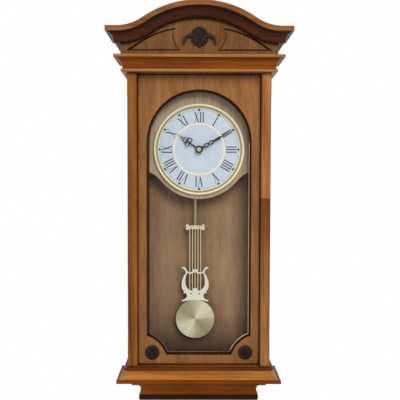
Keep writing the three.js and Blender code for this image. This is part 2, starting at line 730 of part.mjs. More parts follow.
// A pipe collar, a stem with a knot, two small loops side by side, an open triangle and a pointer.
function hourHand() {
  const y0 = DEPTHS.hourHand;
  const y1 = y0 + HAND_THICKNESS;
  const flat = (points) => frontExtrusion(polygon(points), y0, y1);
  const knot = { height: 10, radius: 1.7 };
  const loop = { height: 22.6, x: 4.2, inner: 3, outer: 4.4 };
  const triangle = { bottom: 27, top: 40, half: 5.8 };
  const opening = { bottom: 28.3, top: 36.4, half: 3.9 };
  const crossbar = { height: 31.5, half: 3.2, width: 0.9 };
  const framed = cut(
    flat([[-triangle.half, triangle.bottom], [triangle.half, triangle.bottom], [0, triangle.top]]),
    frontExtrusion(
      polygon([[-opening.half, opening.bottom], [opening.half, opening.bottom], [0, opening.top]]),
      y0 - 1, y1 + 1),
  );
  const hand = join(
    disc(6.2, y0, y1, 0, 0, 24),
    flat([[-1.4, 4], [1.4, 4], [0.8, triangle.bottom + 1], [-0.8, triangle.bottom + 1]]),
    disc(knot.radius, y0, y1, 0, knot.height, 12),
    flatRing(loop.inner, loop.outer, y0, y1, -loop.x, loop.height, 9),
    flatRing(loop.inner, loop.outer, y0, y1, loop.x, loop.height, 9),
    framed,
    board(-crossbar.half, crossbar.half, y0, y1, crossbar.height, crossbar.height + crossbar.width),
    flat([[-0.9, opening.top], [0.9, opening.top], [0, HOUR_HAND_LENGTH]]),
  );
  const bore = disc(PIPE_RADIUS + GAP, y0 - 1, y1 + 1, 0, 0, 20);
  return placeHand(cut(hand, bore), HOUR_HAND_ANGLE);
}

function minuteHand() {
  const length = MINUTE_HAND_LENGTH;
  const half = new THREE.Path();
  half.moveTo(0, length);
  half.lineTo(1, 46);
  half.quadraticCurveTo(1.5, 43, 2.6, 41.4);
  half.quadraticCurveTo(1.9, 38, 1.7, 31);
  half.quadraticCurveTo(1.7, 29.4, 2.7, 28.2);
  half.bezierCurveTo(4.6, 25.6, 4, 22, 1.8, 19.6);
  half.bezierCurveTo(4.4, 17.4, 4.4, 13, 2, 10);
  half.lineTo(1.9, 5);
  half.absarc(0, 0, 5.2, 1.2, -Math.PI / 2, true);
  const hand = new THREE.Shape(mirrored(half, 6));
  hand.holes.push(new THREE.Path().absarc(0, 0, ARBOR_RADIUS + GAP, 0, Math.PI * 2));
  const link = (bottom, top, width) => new THREE.Path()
    .absellipse(0, (bottom + top) / 2, width, (top - bottom) / 2, 0, Math.PI * 2);
  hand.holes.push(link(11.4, 18.4, 1.7), link(20.8, 27.2, 1.7));
  const front = DEPTHS.minuteHand;
  return placeHand(frontExtrusion(hand, front, front + HAND_THICKNESS, 6), MINUTE_HAND_ANGLE);
}

function handNut() {
  const radius = 3.9;
  const dome = 1.6;
  const [front, back] = DEPTHS.nut;
  const profile = [new THREE.Vector2(0, front)];
  for (let step = 1; step <= 5; step++) {
    const angle = step * Math.PI / 10;
    profile.push(new THREE.Vector2(radius * Math.sin(angle), front + dome * (1 - Math.cos(angle))));
  }
  profile.push(new THREE.Vector2(radius, back), new THREE.Vector2(0, back));
  return new THREE.LatheGeometry(profile, 20).translate(0, 0, DIAL_HEIGHT);
}

// ---------------------------------------------------------------- movement

// A spur gear around the y direction, with short, thin teeth so that it runs free.
function gear(teeth, module, y0, y1, x, z, phase = 0) {
  const pitchRadius = teeth * module / 2;
  const tip = pitchRadius + 0.75 * module;
  const root = pitchRadius - 1.1 * module;
  const pitch = Math.PI * 2 / teeth;
  const points = [];
  for (let tooth = 0; tooth < teeth; tooth++) {
    const centre = tooth * pitch + phase;
    for (const [radius, offset] of [[root, -0.24], [tip, -0.1], [tip, 0.1], [root, 0.24]]) {
      const angle = centre + offset * pitch;
      points.push([x + radius * Math.cos(angle), z + radius * Math.sin(angle)]);
    }
  }
  return frontExtrusion(polygon(points), y0, y1);
}

const MOTION_HEIGHT = DIAL_HEIGHT + GEAR_CENTRES;
const KNOB_HEIGHT = MOTION_HEIGHT + GEAR_CENTRES;

function movementFrontShell() {
  const { left, right, bottom, top, front, split, wall } = MOVEMENT;
  const room = board(left + wall, right - wall, front + wall, split + 1, bottom + wall, top - wall);
  const hollow = cut(board(left, right, front, split, bottom, top), room);
  const inside = front + wall - 0.5;
  return cut(
    join(
      hollow,
      disc(BUSH.outer, BUSH.front, inside, 0, DIAL_HEIGHT),
      disc(0.9, inside, -26.3, 0, MOTION_HEIGHT, 12),
      disc(2.6, inside, -29.2, 0, KNOB_HEIGHT, 16),
    ),
    disc(BUSH.inner, BUSH.front - 1, inside + 1, 0, DIAL_HEIGHT),
    disc(1.4, -31, -28, 0, KNOB_HEIGHT, 16),
  );
}

function movementRearShell() {
  const { left, right, bottom, top, split, back, wall } = MOVEMENT;
  const front = split + GAP;
  const room = board(left + wall, right - wall, front - 1, back - wall, bottom + wall, top - wall);
  const bay = { left: 7.2, right: 23.7, front: -24, bottom: 409, top: 463, wall: 1.2 };
  const armSlot = board(PENDULUM_X - 7, PENDULUM_X + 7, -21, -15, bottom - 1, bottom + wall + 1);
  return cut(
    join(
      cut(board(left, right, front, back, bottom, top), room),
      board(bay.left - bay.wall, bay.right + bay.wall, bay.front - bay.wall, back - 0.5,
        bay.bottom - bay.wall, bay.top + bay.wall),
      disc(2.5, -24, back - 0.5, 0, DIAL_HEIGHT, 16),
      disc(1.2, -21, back - 0.5, PENDULUM_X, PENDULUM_PIVOT, 12),
    ),
    board(bay.left, bay.right, bay.front, back + 1, bay.bottom, bay.top),
    disc(ARBOR_BORE, -25, -20, 0, DIAL_HEIGHT, 16),
    disc(2, back - wall - 1, back + 1, 0, KNOB_HEIGHT, 16),
    armSlot,
  );
}

function mountingNut() {
  const back = DIAL_BOARD.front - GAP - 1 - GAP;
  return cut(
    disc(6.5, back - 2, back, 0, DIAL_HEIGHT, 6),
    disc(BUSH.outer + GAP, back - 3, back + 1, 0, DIAL_HEIGHT),
  );
}

function minuteArbor() {
  return join(
    disc(ARBOR_RADIUS, DEPTHS.minuteHand, -21, 0, DIAL_HEIGHT, 16),
    gear(12, MINUTE_MODULE, ...DEPTHS.minutePinion, 0, DIAL_HEIGHT),
  );
}

function hourWheel() {
  return cut(
    join(
      gear(40, HOUR_MODULE, ...DEPTHS.hourWheel, 0, DIAL_HEIGHT),
      disc(PIPE_RADIUS, DEPTHS.hourHand - GAP, -30, 0, DIAL_HEIGHT, 20),
    ),
    disc(ARBOR_BORE, DEPTHS.hourHand - 1, DEPTHS.hourWheel[1] + 1, 0, DIAL_HEIGHT, 16),
  );
}

function motionWheel() {
  const halfTooth = Math.PI / 36;
  return cut(
    join(
      gear(36, MINUTE_MODULE, ...DEPTHS.motionWheel, 0, MOTION_HEIGHT, halfTooth),
      gear(10, HOUR_MODULE, -30.8, -28, 0, MOTION_HEIGHT),
    ),
    disc(1.3, -32, -27, 0, MOTION_HEIGHT, 16),
  );
}

function setKnob() {
  return join(
    disc(1, -30.6, -28, 0, KNOB_HEIGHT, 12),
    gear(12, MINUTE_MODULE, ...DEPTHS.knobWheel, 0, KNOB_HEIGHT),
    disc(1.5, -27.6, -7, 0, KNOB_HEIGHT, 12),
    gear(20, 0.6, -7.7, -4.7, 0, KNOB_HEIGHT),
  );
}

function circuitBoard() {
  return board(MOVEMENT.left + 2, -12, -26, -24.8, 415, 477);
}

function motorBlock() {
  return board(MOVEMENT.left + 2, -12.5, -30.9, -26.3, 425, 470);
}

function driveCoil() {
  return flatRing(2.5, 7, -12.9, -9.8, PENDULUM_X, DRIVE_HEIGHT, 12);
}

function batteryCell() {
  const { x, y, radius, bottom, length } = BATTERY;
  return join(
    upright(radius, bottom, bottom + length - 1.4, x, y, 24),
    upright(2.6, bottom + length - 2, bottom + length, x, y, 12),
  );
}

// ---------------------------------------------------------------- pendulum
// Its pieces are drawn about the pendulum's own centre line and then moved to it.

const atPendulum = (geometry) => geometry.translate(PENDULUM_X, 0, 0);

function hangerArm() {
  const arm = new THREE.Shape();
  arm.moveTo(-2.5, 402);
  arm.lineTo(2.5, 402);
  arm.lineTo(2.5, PENDULUM_PIVOT - 3);
  arm.absarc(0, PENDULUM_PIVOT, 4, -0.9, Math.PI + 0.9, false);
  arm.lineTo(-2.5, PENDULUM_PIVOT - 3);
  arm.holes.push(new THREE.Path().absarc(0, PENDULUM_PIVOT, 1.6, 0, Math.PI * 2));
  const tongue = new THREE.Shape();
  tongue.moveTo(-2.5, 403);
  tongue.lineTo(-2.5, 391);
  tongue.absarc(0, 391, 2.5, Math.PI, Math.PI * 2, false);
  tongue.lineTo(2.5, 403);
  tongue.holes.push(new THREE.Path().absarc(0, 393, 1.4, 0, Math.PI * 2));
  return atPendulum(join(
    frontExtrusion(arm, -20, STRIP_DEPTH.front - GAP, 8),
    frontExtrusion(tongue, -17.8, STRIP_DEPTH.front - GAP, 8),
  ));
}

// A flat strip from the hanger down behind the bob, narrow where the lyre's middle rod hides it.
function pendulumRod() {
  const { front, back } = STRIP_DEPTH;
  return atPendulum(join(
    board(-2, 2, front, back, GRID_TOP - 3, 400),
    board(-0.9, 0.9, front, back, BOB_HEIGHT - 25, GRID_TOP - 2),
    disc(1, -19, front + 0.5, 0, 393, 12),
  ));
}

// The top bar, with a round lobe at each corner, and the five rods that hang from it.
function lyreRodGrid() {
  const half = new THREE.Path();
  half.moveTo(0, 3.6);
  half.quadraticCurveTo(7, 3.4, 11.4, 2.4);
  half.bezierCurveTo(11, 5.6, 15.4, 6.6, 17, 3.6);
  half.quadraticCurveTo(18, 1.4, 15.6, 0);
  half.quadraticCurveTo(18, -1.4, 17, -3.6);
  half.bezierCurveTo(15.4, -6.6, 11, -5.6, 11.4, -2.4);
  half.quadraticCurveTo(7, -3.4, 0, -3.6);
  const bar = new THREE.Shape(mirrored(half, 5));
  for (const x of [-7.2, 7.2]) bar.holes.push(new THREE.Path().absarc(x, 0, 1.1, 0, Math.PI * 2));
  const pieces = [frontExtrusion(bar, ROD_DEPTH - 1.1, ROD_DEPTH + 1.1, 6).translate(0, 0, GRID_TOP)];
  for (let rod = -2; rod <= 2; rod++) {
    pieces.push(upright(ROD_RADIUS, 186.5, GRID_TOP, rod * ROD_SPACING, ROD_DEPTH, 10));
  }
  return atPendulum(join(...pieces));
}

function lyreFrame() {
  const outer = new THREE.Path();
  outer.moveTo(0, 228);
  outer.bezierCurveTo(2.6, 226.6, 3.4, 230.2, 4.8, 228.2);
  outer.quadraticCurveTo(5.4, 226, 3.6, 224.6);
  outer.quadraticCurveTo(9, 220.6, 14.4, 224.4);
  outer.quadraticCurveTo(16.6, 233.2, 23.2, 232.6);
  outer.quadraticCurveTo(25.4, 231, 22.6, 229.6);
  outer.quadraticCurveTo(18.4, 228.4, 16.8, 221.8);
  outer.bezierCurveTo(23.6, 213.4, 29.2, 194.4, 20, 187.4);
  outer.lineTo(21.2, 183.8);
  outer.lineTo(17.6, 184.6);
  outer.bezierCurveTo(13.4, 181, 13.6, 174.6, 24.4, 171.2);
  outer.lineTo(23.6, 168.8);
  outer.quadraticCurveTo(12, 171.8, 0, 171.8);
  const inner = new THREE.Path();
  inner.moveTo(0, 223.4);
  inner.quadraticCurveTo(8, 217, 14.6, 221.8);
  inner.bezierCurveTo(19.6, 209, 20.6, 190, 4.6, 188.4);
  inner.quadraticCurveTo(3, 189.2, 4.8, 191.4);
  inner.quadraticCurveTo(4.4, 194.4, 2.2, 192.8);
  inner.quadraticCurveTo(1.2, 194.6, 0, 194.4);
  const shape = new THREE.Shape(mirrored(outer, 6));
  shape.holes.push(new THREE.Path(mirrored(inner, 6)));
  for (const x of [-7.3, 7.3]) shape.holes.push(new THREE.Path().absarc(x, 183.6, 1.3, 0, Math.PI * 2));
  return atPendulum(frontExtrusion(shape, LYRE_DEPTH.front, LYRE_DEPTH.back, 6));
}

function pendulumBob() {
  const back = STRIP_DEPTH.front - GAP;
  const rim = back - 1.3;
  const crownHeight = 6;
  const profile = [];
  const steps = 5;
  for (let step = 0; step <= steps; step++) {
    const part = step / steps;
    profile.push(new THREE.Vector2(BOB_RADIUS * part, rim - crownHeight * (1 - part ** 2)));
  }
  profile.push(new THREE.Vector2(BOB_RADIUS, back), new THREE.Vector2(0, back));
  return atPendulum(new THREE.LatheGeometry(profile, 36).translate(0, 0, BOB_HEIGHT));
}

function pendulumMagnet() {
  const front = STRIP_DEPTH.front;
  return disc(3.6, front, front + 2.6, PENDULUM_X, DRIVE_HEIGHT, 16);
}

// ---------------------------------------------------------------- assembly

const clock = new THREE.Group();
clock.position.z = -HANG_HEIGHT;

function add(name, geometry, finish) {
  const mesh = new THREE.Mesh(geometry, finish());
  mesh.name = name;
  clock.add(mesh);
}

const SIDES = [['left', -1], ['right', 1]];

add('back_panel', backPanel(), panelWood);
for (const [name, side] of SIDES) add(`${name}_side_board`, sideBoard(side), oak);
add('case_top_board', caseBoard(CEILING), oak);
add('case_floor_board', caseBoard(FLOOR_TOP - CASE_BOARD_THICKNESS), oak);
add('cornice_cap_board', corniceCapBoard(), oak);

for (const [name, profile, finish] of [
  ['foot_moulding', footProfile(), darkOak],
  ['base_moulding', baseProfile(), oak],
  ['cornice', corniceProfile(), oak],
]) {
  add(`${name}_front`, frontMoulding(profile), finish);
  for (const [sideName, side] of SIDES) add(`${name}_${sideName}`, sideMoulding(profile, side), finish);
}
add('foot_plate', footPlate(), footWood);

add('frieze_board', friezeBoard(), oak);
for (const [name, side] of SIDES) add(`frieze_side_${name}`, friezeSide(side), oak);
add('crown_moulding_front', crownMoulding(), darkOak);
for (const [name, side] of SIDES) add(`crown_return_${name}`, crownReturn(side), darkOak);
add('crown_roof_sheet', roofSheet(), darkOak);
add('crest_ornament', crestOrnament(), carved);
add('hanging_rail', hangingRail(), panelWood);
add('hanger_plate', hangerPlate(), steel);

add('door_panel', doorPanel(), panelWood);
add('glass_frame', glassFrame(), darkOak);
add('door_glass', doorGlass(), glass);
for (const [name, side] of SIDES) add(`rosette_${name}`, rosette(side), carved);
add('lower_pivot_pin', pivotPin(FLOOR_TOP - 8, DOOR_BOTTOM + PIVOT.reach - 1), steel);
add('upper_pivot_pin', pivotPin(DOOR_TOP - PIVOT.reach + 1, CEILING + 8), steel);
add('door_magnet_catch', magnetCatch(), whitePlastic);
add('catch_strike_plate', strikePlate(), steel);

add('dial_board', dialBoard(), boardFinish);
for (const [name, side] of SIDES) add(`dial_board_cleat_${name}`, dialBoardCleat(side), panelWood);
add('dial_plate', dialPlate(), dialWhite);
add('dial_bezel', dialBezel(), gilt);

add('movement_front_shell', movementFrontShell(), blackPlastic);
add('movement_rear_shell', movementRearShell(), blackPlastic);
add('mounting_nut', mountingNut(), brass);
add('circuit_board', circuitBoard(), circuitGreen);
add('motor_block', motorBlock(), whitePlastic);
add('pendulum_drive_coil', driveCoil(), copper);
add('minute_arbor', minuteArbor(), steel);
add('minute_hand', minuteHand(), blackMetal);
add('hand_nut', handNut(), brass);
add('hour_wheel', hourWheel(), whitePlastic);
add('hour_hand', hourHand(), blackMetal);
add('motion_wheel', motionWheel(), whitePlastic);
add('set_knob', setKnob(), whitePlastic);
add('battery_cell', batteryCell(), cellFinish);

add('pendulum_hanger_arm', hangerArm(), blackPlastic);
add('pendulum_magnet', pendulumMagnet(), steel);
add('pendulum_rod', pendulumRod(), gilt);
add('lyre_rod_grid', lyreRodGrid(), gilt);
add('lyre_frame', lyreFrame(), gilt);
add('pendulum_bob', pendulumBob(), brass);

export default clock;
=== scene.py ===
"""Looks of the quartz pendulum wall clock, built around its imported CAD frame.

Lengths are in millimetres until a mesh is made. A height is measured up from the underside of the
foot, x runs to the viewer's right and y towards the wall, which is at y = 0.
"""

from math import acos, asin, atan2, comb, cos, degrees, dist, hypot, pi, radians, sin, sqrt

import bmesh
import bpy
import numpy as np
from mathutils import Matrix, Vector

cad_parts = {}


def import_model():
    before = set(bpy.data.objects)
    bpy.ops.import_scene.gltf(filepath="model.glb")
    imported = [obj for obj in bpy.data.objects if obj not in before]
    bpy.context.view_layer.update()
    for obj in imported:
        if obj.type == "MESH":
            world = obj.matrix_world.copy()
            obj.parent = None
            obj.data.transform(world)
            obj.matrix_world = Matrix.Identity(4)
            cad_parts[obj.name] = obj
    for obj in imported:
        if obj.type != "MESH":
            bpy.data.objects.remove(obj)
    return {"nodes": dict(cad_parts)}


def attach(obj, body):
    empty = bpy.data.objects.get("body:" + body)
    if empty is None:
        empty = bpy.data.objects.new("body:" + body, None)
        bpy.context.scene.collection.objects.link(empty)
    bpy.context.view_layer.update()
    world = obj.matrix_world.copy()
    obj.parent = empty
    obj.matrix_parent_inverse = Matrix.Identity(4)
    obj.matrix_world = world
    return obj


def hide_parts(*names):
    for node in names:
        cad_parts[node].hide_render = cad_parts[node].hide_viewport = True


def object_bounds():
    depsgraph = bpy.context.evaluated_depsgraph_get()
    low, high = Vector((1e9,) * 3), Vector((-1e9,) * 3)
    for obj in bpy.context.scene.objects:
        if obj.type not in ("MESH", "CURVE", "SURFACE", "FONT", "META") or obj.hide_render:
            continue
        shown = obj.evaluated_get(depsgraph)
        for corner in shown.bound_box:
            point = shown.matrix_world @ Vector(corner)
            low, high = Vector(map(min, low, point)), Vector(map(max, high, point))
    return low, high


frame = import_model()
CAD_LOW, CAD_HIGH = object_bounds()

MM = 0.001
FOOT = CAD_LOW.z
SIDES = (("left", -1), ("right", 1))

CASE_HALF = 123.5
CASE_FRONT = -79.0
MITRE_GAP = 0.2
WALL_GAP = 0.3
GLUE_GAP = 0.3


def spot(x, y, height):
    """A place in the row frame."""
    return Vector((x * MM, y * MM, FOOT + height * MM))


def linked(name, data):
    """A new object in the scene."""
    item = bpy.data.objects.new(name, data)
    bpy.context.scene.collection.objects.link(item)
    return item


def level(height):
    """The row frame's z at a height."""
    return spot(0, 0, height).z


# ---- camera

CAMERA_PLACE = (-5.1, -1263.5, 396.8)
PITCH, YAW, ROLL = (radians(a) for a in (2.97, 0.328, 0.141))
SENSOR_WIDTH = 36
FOCAL_LENGTH = 61.92
FRAME_SHIFT = 0.03


def make_camera():
    ahead = Vector((sin(YAW) * cos(PITCH), cos(YAW) * cos(PITCH), -sin(PITCH)))
    right = ahead.cross(Vector((0, 0, 1))).normalized()
    up = right.cross(ahead)
    tilted_right = right * cos(ROLL) + up * sin(ROLL)
    tilted_up = up * cos(ROLL) - right * sin(ROLL)
    lens = bpy.data.cameras.new("camera")
    lens.sensor_width = SENSOR_WIDTH
    lens.lens = FOCAL_LENGTH
    lens.shift_y = FRAME_SHIFT
    camera = linked("camera", lens)
    axes = Matrix((tilted_right, tilted_up, -ahead)).transposed()
    camera.matrix_world = Matrix.Translation(spot(*CAMERA_PLACE)) @ axes.to_4x4()
    bpy.context.scene.camera = camera


make_camera()
bpy.context.scene.view_settings.view_transform = "Standard"


# ---- materials


def srgb(red, green, blue):
    """A linear colour from 0-255 display values."""
    values = []
    for value in (red, green, blue):
        part = value / 255
        values.append(part / 12.92 if part <= 0.04045 else ((part + 0.055) / 1.055) ** 2.4)
    return (*values, 1.0)


def tones(*colours):
    return tuple(srgb(*colour) for colour in colours)


def add_node(tree, kind, values=None, **settings):
    """A shader node. Each value is a constant, or the socket that feeds that input."""
    node = tree.nodes.new(f"ShaderNode{kind}")
    for key, value in settings.items():
        setattr(node, key, value)
    for socket, value in (values or {}).items():
        if isinstance(value, bpy.types.NodeSocket):
            tree.links.new(value, node.inputs[socket])
        else:
            node.inputs[socket].default_value = value
    return node


class Surface:
    """A material around one Principled shader, with short calls for its nodes."""

    def __init__(self, name, **sockets):
        self.material = bpy.data.materials.new(name)
        self.material.use_nodes = True
        self.tree = self.material.node_tree
        self.tree.nodes.clear()
        self.shader = self.node("BsdfPrincipled")
        self.output = self.node("OutputMaterial", {"Surface": self.shader.outputs[0]})
        self.coordinates = self.node("TexCoord").outputs["Object"]
        for socket, value in sockets.items():
            self.shader.inputs[socket.replace("_", " ")].default_value = value

    def node(self, kind, values=None, **settings):
        return add_node(self.tree, kind, values, **settings)

    def feed(self, socket, source):
        """Links a source to one of the shader's sockets."""
        self.tree.links.new(source, self.shader.inputs[socket])

    def vector(self, operation, first, second=(0, 0, 0)):
        return self.node("VectorMath", {0: first, 1: second}, operation=operation).outputs

    def place(self, scale, offset):
        """Object coordinates, moved and then stretched by one scale or by three."""
        scale = scale if isinstance(scale, tuple) else (scale,) * 3
        return self.vector("MULTIPLY", self.vector("ADD", self.coordinates, offset)[0], scale)[0]

    def height(self):
        return self.node("SeparateXYZ", {0: self.coordinates}).outputs["Z"]

    def noise(self, vector, scale=1.0, detail=3.0, roughness=0.55, distortion=0.0):
        values = {"Vector": vector, "Scale": scale, "Detail": detail, "Roughness": roughness}
        values["Distortion"] = distortion
        return self.node("TexNoise", values).outputs["Fac"]

    def pattern(self, scale, offset=(0, 0, 0), **options):
        return self.noise(self.place(scale, offset), **options)

    def ramp(self, factor, spread, colours):
        """Three colours: the middle one at 0.5, and the others that far below and above it."""
        node = self.node("ValToRGB", {"Fac": factor})
        elements = node.color_ramp.elements
        elements.new(0.5)
        for element, place, colour in zip(elements, (0.5 - spread, 0.5, 0.5 + spread), colours):
            element.position = place
            element.color = colour
        return node.outputs["Color"]

    def mix(self, factor, first, second, blend="MIX"):
        values = {"Factor": factor, 6: first, 7: second}
        return self.node("Mix", values, data_type="RGBA", blend_type=blend).outputs[2]

    def tinted(self, colour, tint):
        return self.mix(1, colour, tint, "MULTIPLY")

    def scaled(self, value, low, high, from_low=0.0, from_high=1.0):
        values = {"Value": value, "From Min": from_low, "From Max": from_high}
        values.update({"To Min": low, "To Max": high})
        return self.node("MapRange", values).outputs[0]

    def spread(self, noise, low, high):
        """Noise lies between about 0.3 and 0.7, and this takes it from low to high."""
        return self.scaled(noise, low, high, 0.3, 0.7)

    def math(self, operation, first, second):
        return self.node("Math", {0: first, 1: second}, operation=operation).outputs[0]

    def bump(self, height, depth, strength):
        values = {"Height": height, "Distance": depth * MM, "Strength": strength}
        self.feed("Normal", self.node("Bump", values).outputs[0])

    def grain(self, noise, low, high, depth, strength):
        """Roughness and relief from one fine noise."""
        self.feed("Roughness", self.spread(noise, low, high))
        self.bump(noise, depth, strength)


OFFSETS = iter(range(1000))
BOARD_STEP = (0.173, 0.091, 0.137)
# Scales across and along the fibres.
PORES = (1500, 55)
# The bands' scales and the streaks' scales.
SOLID = ((62, 3.2), (330, 7))
VENEER = ((110, 14), (520, 60))
# Tints of the painted shade in hollows, corners and gaps.
DEEP_HOLLOW_SHADE = (0.24, 0.085, 0.03, 1)
SOFT_HOLLOW_SHADE = (0.5, 0.4, 0.3, 1)


def along(axis, across_scale, along_scale):
    """Scales that stretch a pattern along one axis."""
    scale = [across_scale] * 3
    scale["xyz".index(axis)] = along_scale
    return tuple(scale)


def wood(name, dark, middle, light, axis="z", gloss=0.42, coat=0.08, contrast=1.0, stain=DEEP_HOLLOW_SHADE,
         reach=7.0, figure_scales=SOLID, low_shade=None, joint=None):
    """Stained and lacquered wood with its fibres along one axis. Each call cuts another board. Painted
    shade darkens it in hollows, corners and gaps, as far out of them as reach says. With low_shade
    the board has painted shade, darker from the second height down to the first. A joint is (height,
    fading height, tones): a second length of wood starts there with other tones, which fade."""
    board = next(OFFSETS)
    offset = tuple(step * board for step in BOARD_STEP)
    surface = Surface(name, Coat_Weight=coat, Coat_Roughness=0.2, Specular_IOR_Level=0.08)
    band_scale, streak_scale = figure_scales
    bands = surface.pattern(along(axis, *band_scale), offset, detail=4, distortion=0.6)
    streaks = surface.pattern(along(axis, *streak_scale), offset, roughness=0.6)
    pores = surface.pattern(along(axis, *PORES), offset, detail=2)
    mottle = surface.pattern(9, offset, detail=2)
    figure = surface.math("ADD", surface.scaled(bands, 0.0, 0.62), surface.scaled(streaks, 0.0, 0.38))
    tone_spread = 0.2 / contrast
    colour = surface.ramp(figure, tone_spread, (dark, middle, light))
    if joint:
        top, fading, lower_tones = joint
        height = surface.height()
        below = surface.math("LESS_THAN", height, level(top))
        fade = surface.scaled(height, 0, 1, level(fading), level(top))
        lower = surface.ramp(figure, tone_spread, lower_tones)
        colour = surface.mix(surface.math("MULTIPLY", below, fade), colour, lower)
    pore_shade = surface.scaled(pores, 0.62, 1.0, 0.34, 0.46)
    colour = surface.tinted(colour, surface.math("MULTIPLY", pore_shade, surface.spread(mottle, 0.84, 1.14)))
    if low_shade:
        lowest, full = low_shade
        # Painted shade, darker towards the bottom.
        low_painted_shade = surface.scaled(surface.height(), 0.3, 1.0, level(lowest), level(full))
        colour = surface.tinted(colour, low_painted_shade)
    # Painted shade: ambient occlusion darkens the colour in hollows, corners and gaps.
    openness = surface.node("AmbientOcclusion", {"Distance": reach * MM}, samples=8).outputs["AO"]
    hollow = surface.scaled(openness, 1, 0, 0.42, 0.97)
    surface.feed("Base Color", surface.mix(hollow, colour, surface.tinted(colour, stain)))
    surface.feed("Roughness", surface.spread(streaks, gloss - 0.07, gloss + 0.1))
    pits = surface.scaled(pores, 0.0, 0.7, 0.3, 0.6)
    surface.bump(surface.math("ADD", pits, surface.scaled(streaks, 0.0, 0.3)), 0.12, 0.5)
    return surface.material


# The right post's tones are lighter than the left post's: painted light from the right.
POST_LEFT_SHADED_TONES = tones((88, 44, 10), (134, 78, 30), (164, 104, 50))
POST_RIGHT_LIT_TONES = tones((112, 62, 22), (158, 102, 54), (186, 132, 80))
JOINT_TONES = tones((74, 32, 8), (112, 58, 24), (140, 80, 38))
OAK_TONES = tones((92, 50, 20), (138, 86, 42), (168, 114, 64))
RED_TONES = tones((136, 74, 18), (184, 120, 52), (206, 146, 76))
BASE_EDGE_TONES = tones((82, 30, 1), (120, 52, 2), (144, 72, 10))
BASE_BEAD_TONES = tones((58, 22, 2), (92, 40, 6), (116, 58, 16))
TAN_TONES = tones((116, 68, 26), (160, 108, 60), (180, 130, 80))
# The cornice cove is darker partly by a darker stain and partly by painted shade.
CORNICE_COVE_STAIN_AND_SHADE_TONES = tones((92, 36, 2), (136, 70, 14), (164, 96, 34))
FRIEZE_TONES = tones((92, 58, 30), (118, 78, 44), (138, 96, 60))
CROWN_TONES = tones((92, 52, 26), (132, 84, 48), (154, 104, 64))
# The crown cove is darker partly by a darker stain and partly by painted shade.
CROWN_COVE_STAIN_AND_SHADE_TONES = tones((42, 16, 6), (66, 30, 14), (86, 44, 24))
# Painted shade in the frieze's engraved grooves.
GROOVE_SHADE_TONES = tones((30, 10, 3), (48, 20, 8), (66, 32, 14))
DOOR_TONES = tones((118, 74, 38), (144, 97, 55), (160, 113, 69))
OPENING_TONES = tones((52, 20, 6), (82, 36, 10), (110, 56, 22))
LIP_TONES = tones((36, 14, 6), (60, 26, 12), (84, 42, 22))
# Painted highlight, painted light and painted shade for the lip's inner edge.
LIP_HIGHLIGHT_TONES = tones((150, 124, 106), (182, 158, 138), (206, 184, 164))
LIP_BOTTOM_LIGHT_TONES = tones((76, 48, 40), (104, 74, 62), (128, 98, 84))
LIP_LEFT_SHADE_TONES = tones((44, 26, 16), (66, 42, 28), (88, 60, 42))
FOOT_MOULDING_TONES = tones((100, 42, 3), (144, 72, 10), (170, 96, 26))
FOOT_TONES = tones((18, 6, 3), (34, 14, 8), (52, 25, 16))
PANEL_TONES = tones((150, 118, 86), (168, 135, 102), (182, 151, 117))
PEARL_TONES = tones((194, 205, 219), (199, 210, 224), (204, 215, 227))
BOARD_TONES = tones((166, 140, 110), (180, 155, 125), (192, 170, 142))
SPUN_TONES = tones((168, 156, 118), (204, 194, 156), (246, 238, 212))


def metal(name, colour, pale, rough, metallic=1.0):
    surface = Surface(name, Metallic=metallic)
    patches = surface.pattern(60)
    surface.feed("Base Color", surface.mix(patches, srgb(*colour), srgb(*pale)))
    surface.grain(surface.pattern(900, detail=2), rough - 0.06, rough + 0.08, 0.02, 0.4)
    return surface.material


def plastic(name, colour, light, rough=0.45):
    surface = Surface(name, Specular_IOR_Level=0.45)
    cloud = surface.pattern(30)
    surface.feed("Base Color", surface.mix(cloud, srgb(*colour), srgb(*light)))
    surface.grain(surface.pattern(1400, detail=2), rough - 0.08, rough + 0.1, 0.04, 0.4)
    return surface.material


GILT = metal("gilt_metal", (226, 212, 164), (246, 238, 206), 0.3)
CREAM_GILT = metal("cream_gilt", (246, 232, 198), (255, 248, 228), 0.3, 0.25)
OLIVE_GILT = metal("olive_gilt", (152, 138, 82), (176, 162, 106), 0.34, 0.4)
PALE_GILT = metal("pale_gilt", (240, 236, 214), (252, 250, 236), 0.3)
DULL_GILT = metal("dull_gilt", (160, 146, 112), (180, 166, 132), 0.34)
BRASS = metal("brass", (212, 204, 164), (236, 230, 198), 0.28)
STEEL = metal("steel", (150, 150, 148), (186, 186, 182), 0.36)
COPPER = metal("copper_wire", (160, 84, 46), (196, 118, 74), 0.34)
BLACK_PLASTIC = plastic("black_plastic", (20, 20, 22), (34, 34, 36))
WHITE_PLASTIC = plastic("white_plastic", (214, 212, 204), (232, 230, 224))
GREEN_BOARD = plastic("circuit_green", (20, 74, 42), (34, 98, 58), 0.35)
CELL_WRAP = plastic("cell_wrap", (58, 62, 70), (84, 88, 96), 0.3)
BLACK_METAL = plastic("black_metal", (4, 5, 5), (12, 13, 12), 0.38)
PRINT_INK = plastic("print_ink", (12, 16, 14), (24, 30, 26), 0.5)


def resin_material():
    """Dark carved resin, nearly black, with a painted highlight on its high places."""
    surface = Surface("carved_resin", Specular_IOR_Level=0.2, Coat_Weight=0.06, Coat_Roughness=0.16)
    cloud = surface.pattern(140, detail=4)
    # Painted highlight: the sharpest high places are lighter.
    crest = surface.scaled(surface.node("NewGeometry").outputs["Pointiness"], 0, 1, 0.48, 0.54)
    body = surface.mix(cloud, srgb(8, 5, 3), srgb(18, 11, 7))
    surface.feed("Base Color", surface.mix(crest, body, srgb(56, 40, 29)))
    surface.grain(surface.pattern(1300, detail=2), 0.26, 0.42, 0.06, 0.5)
    return surface.material


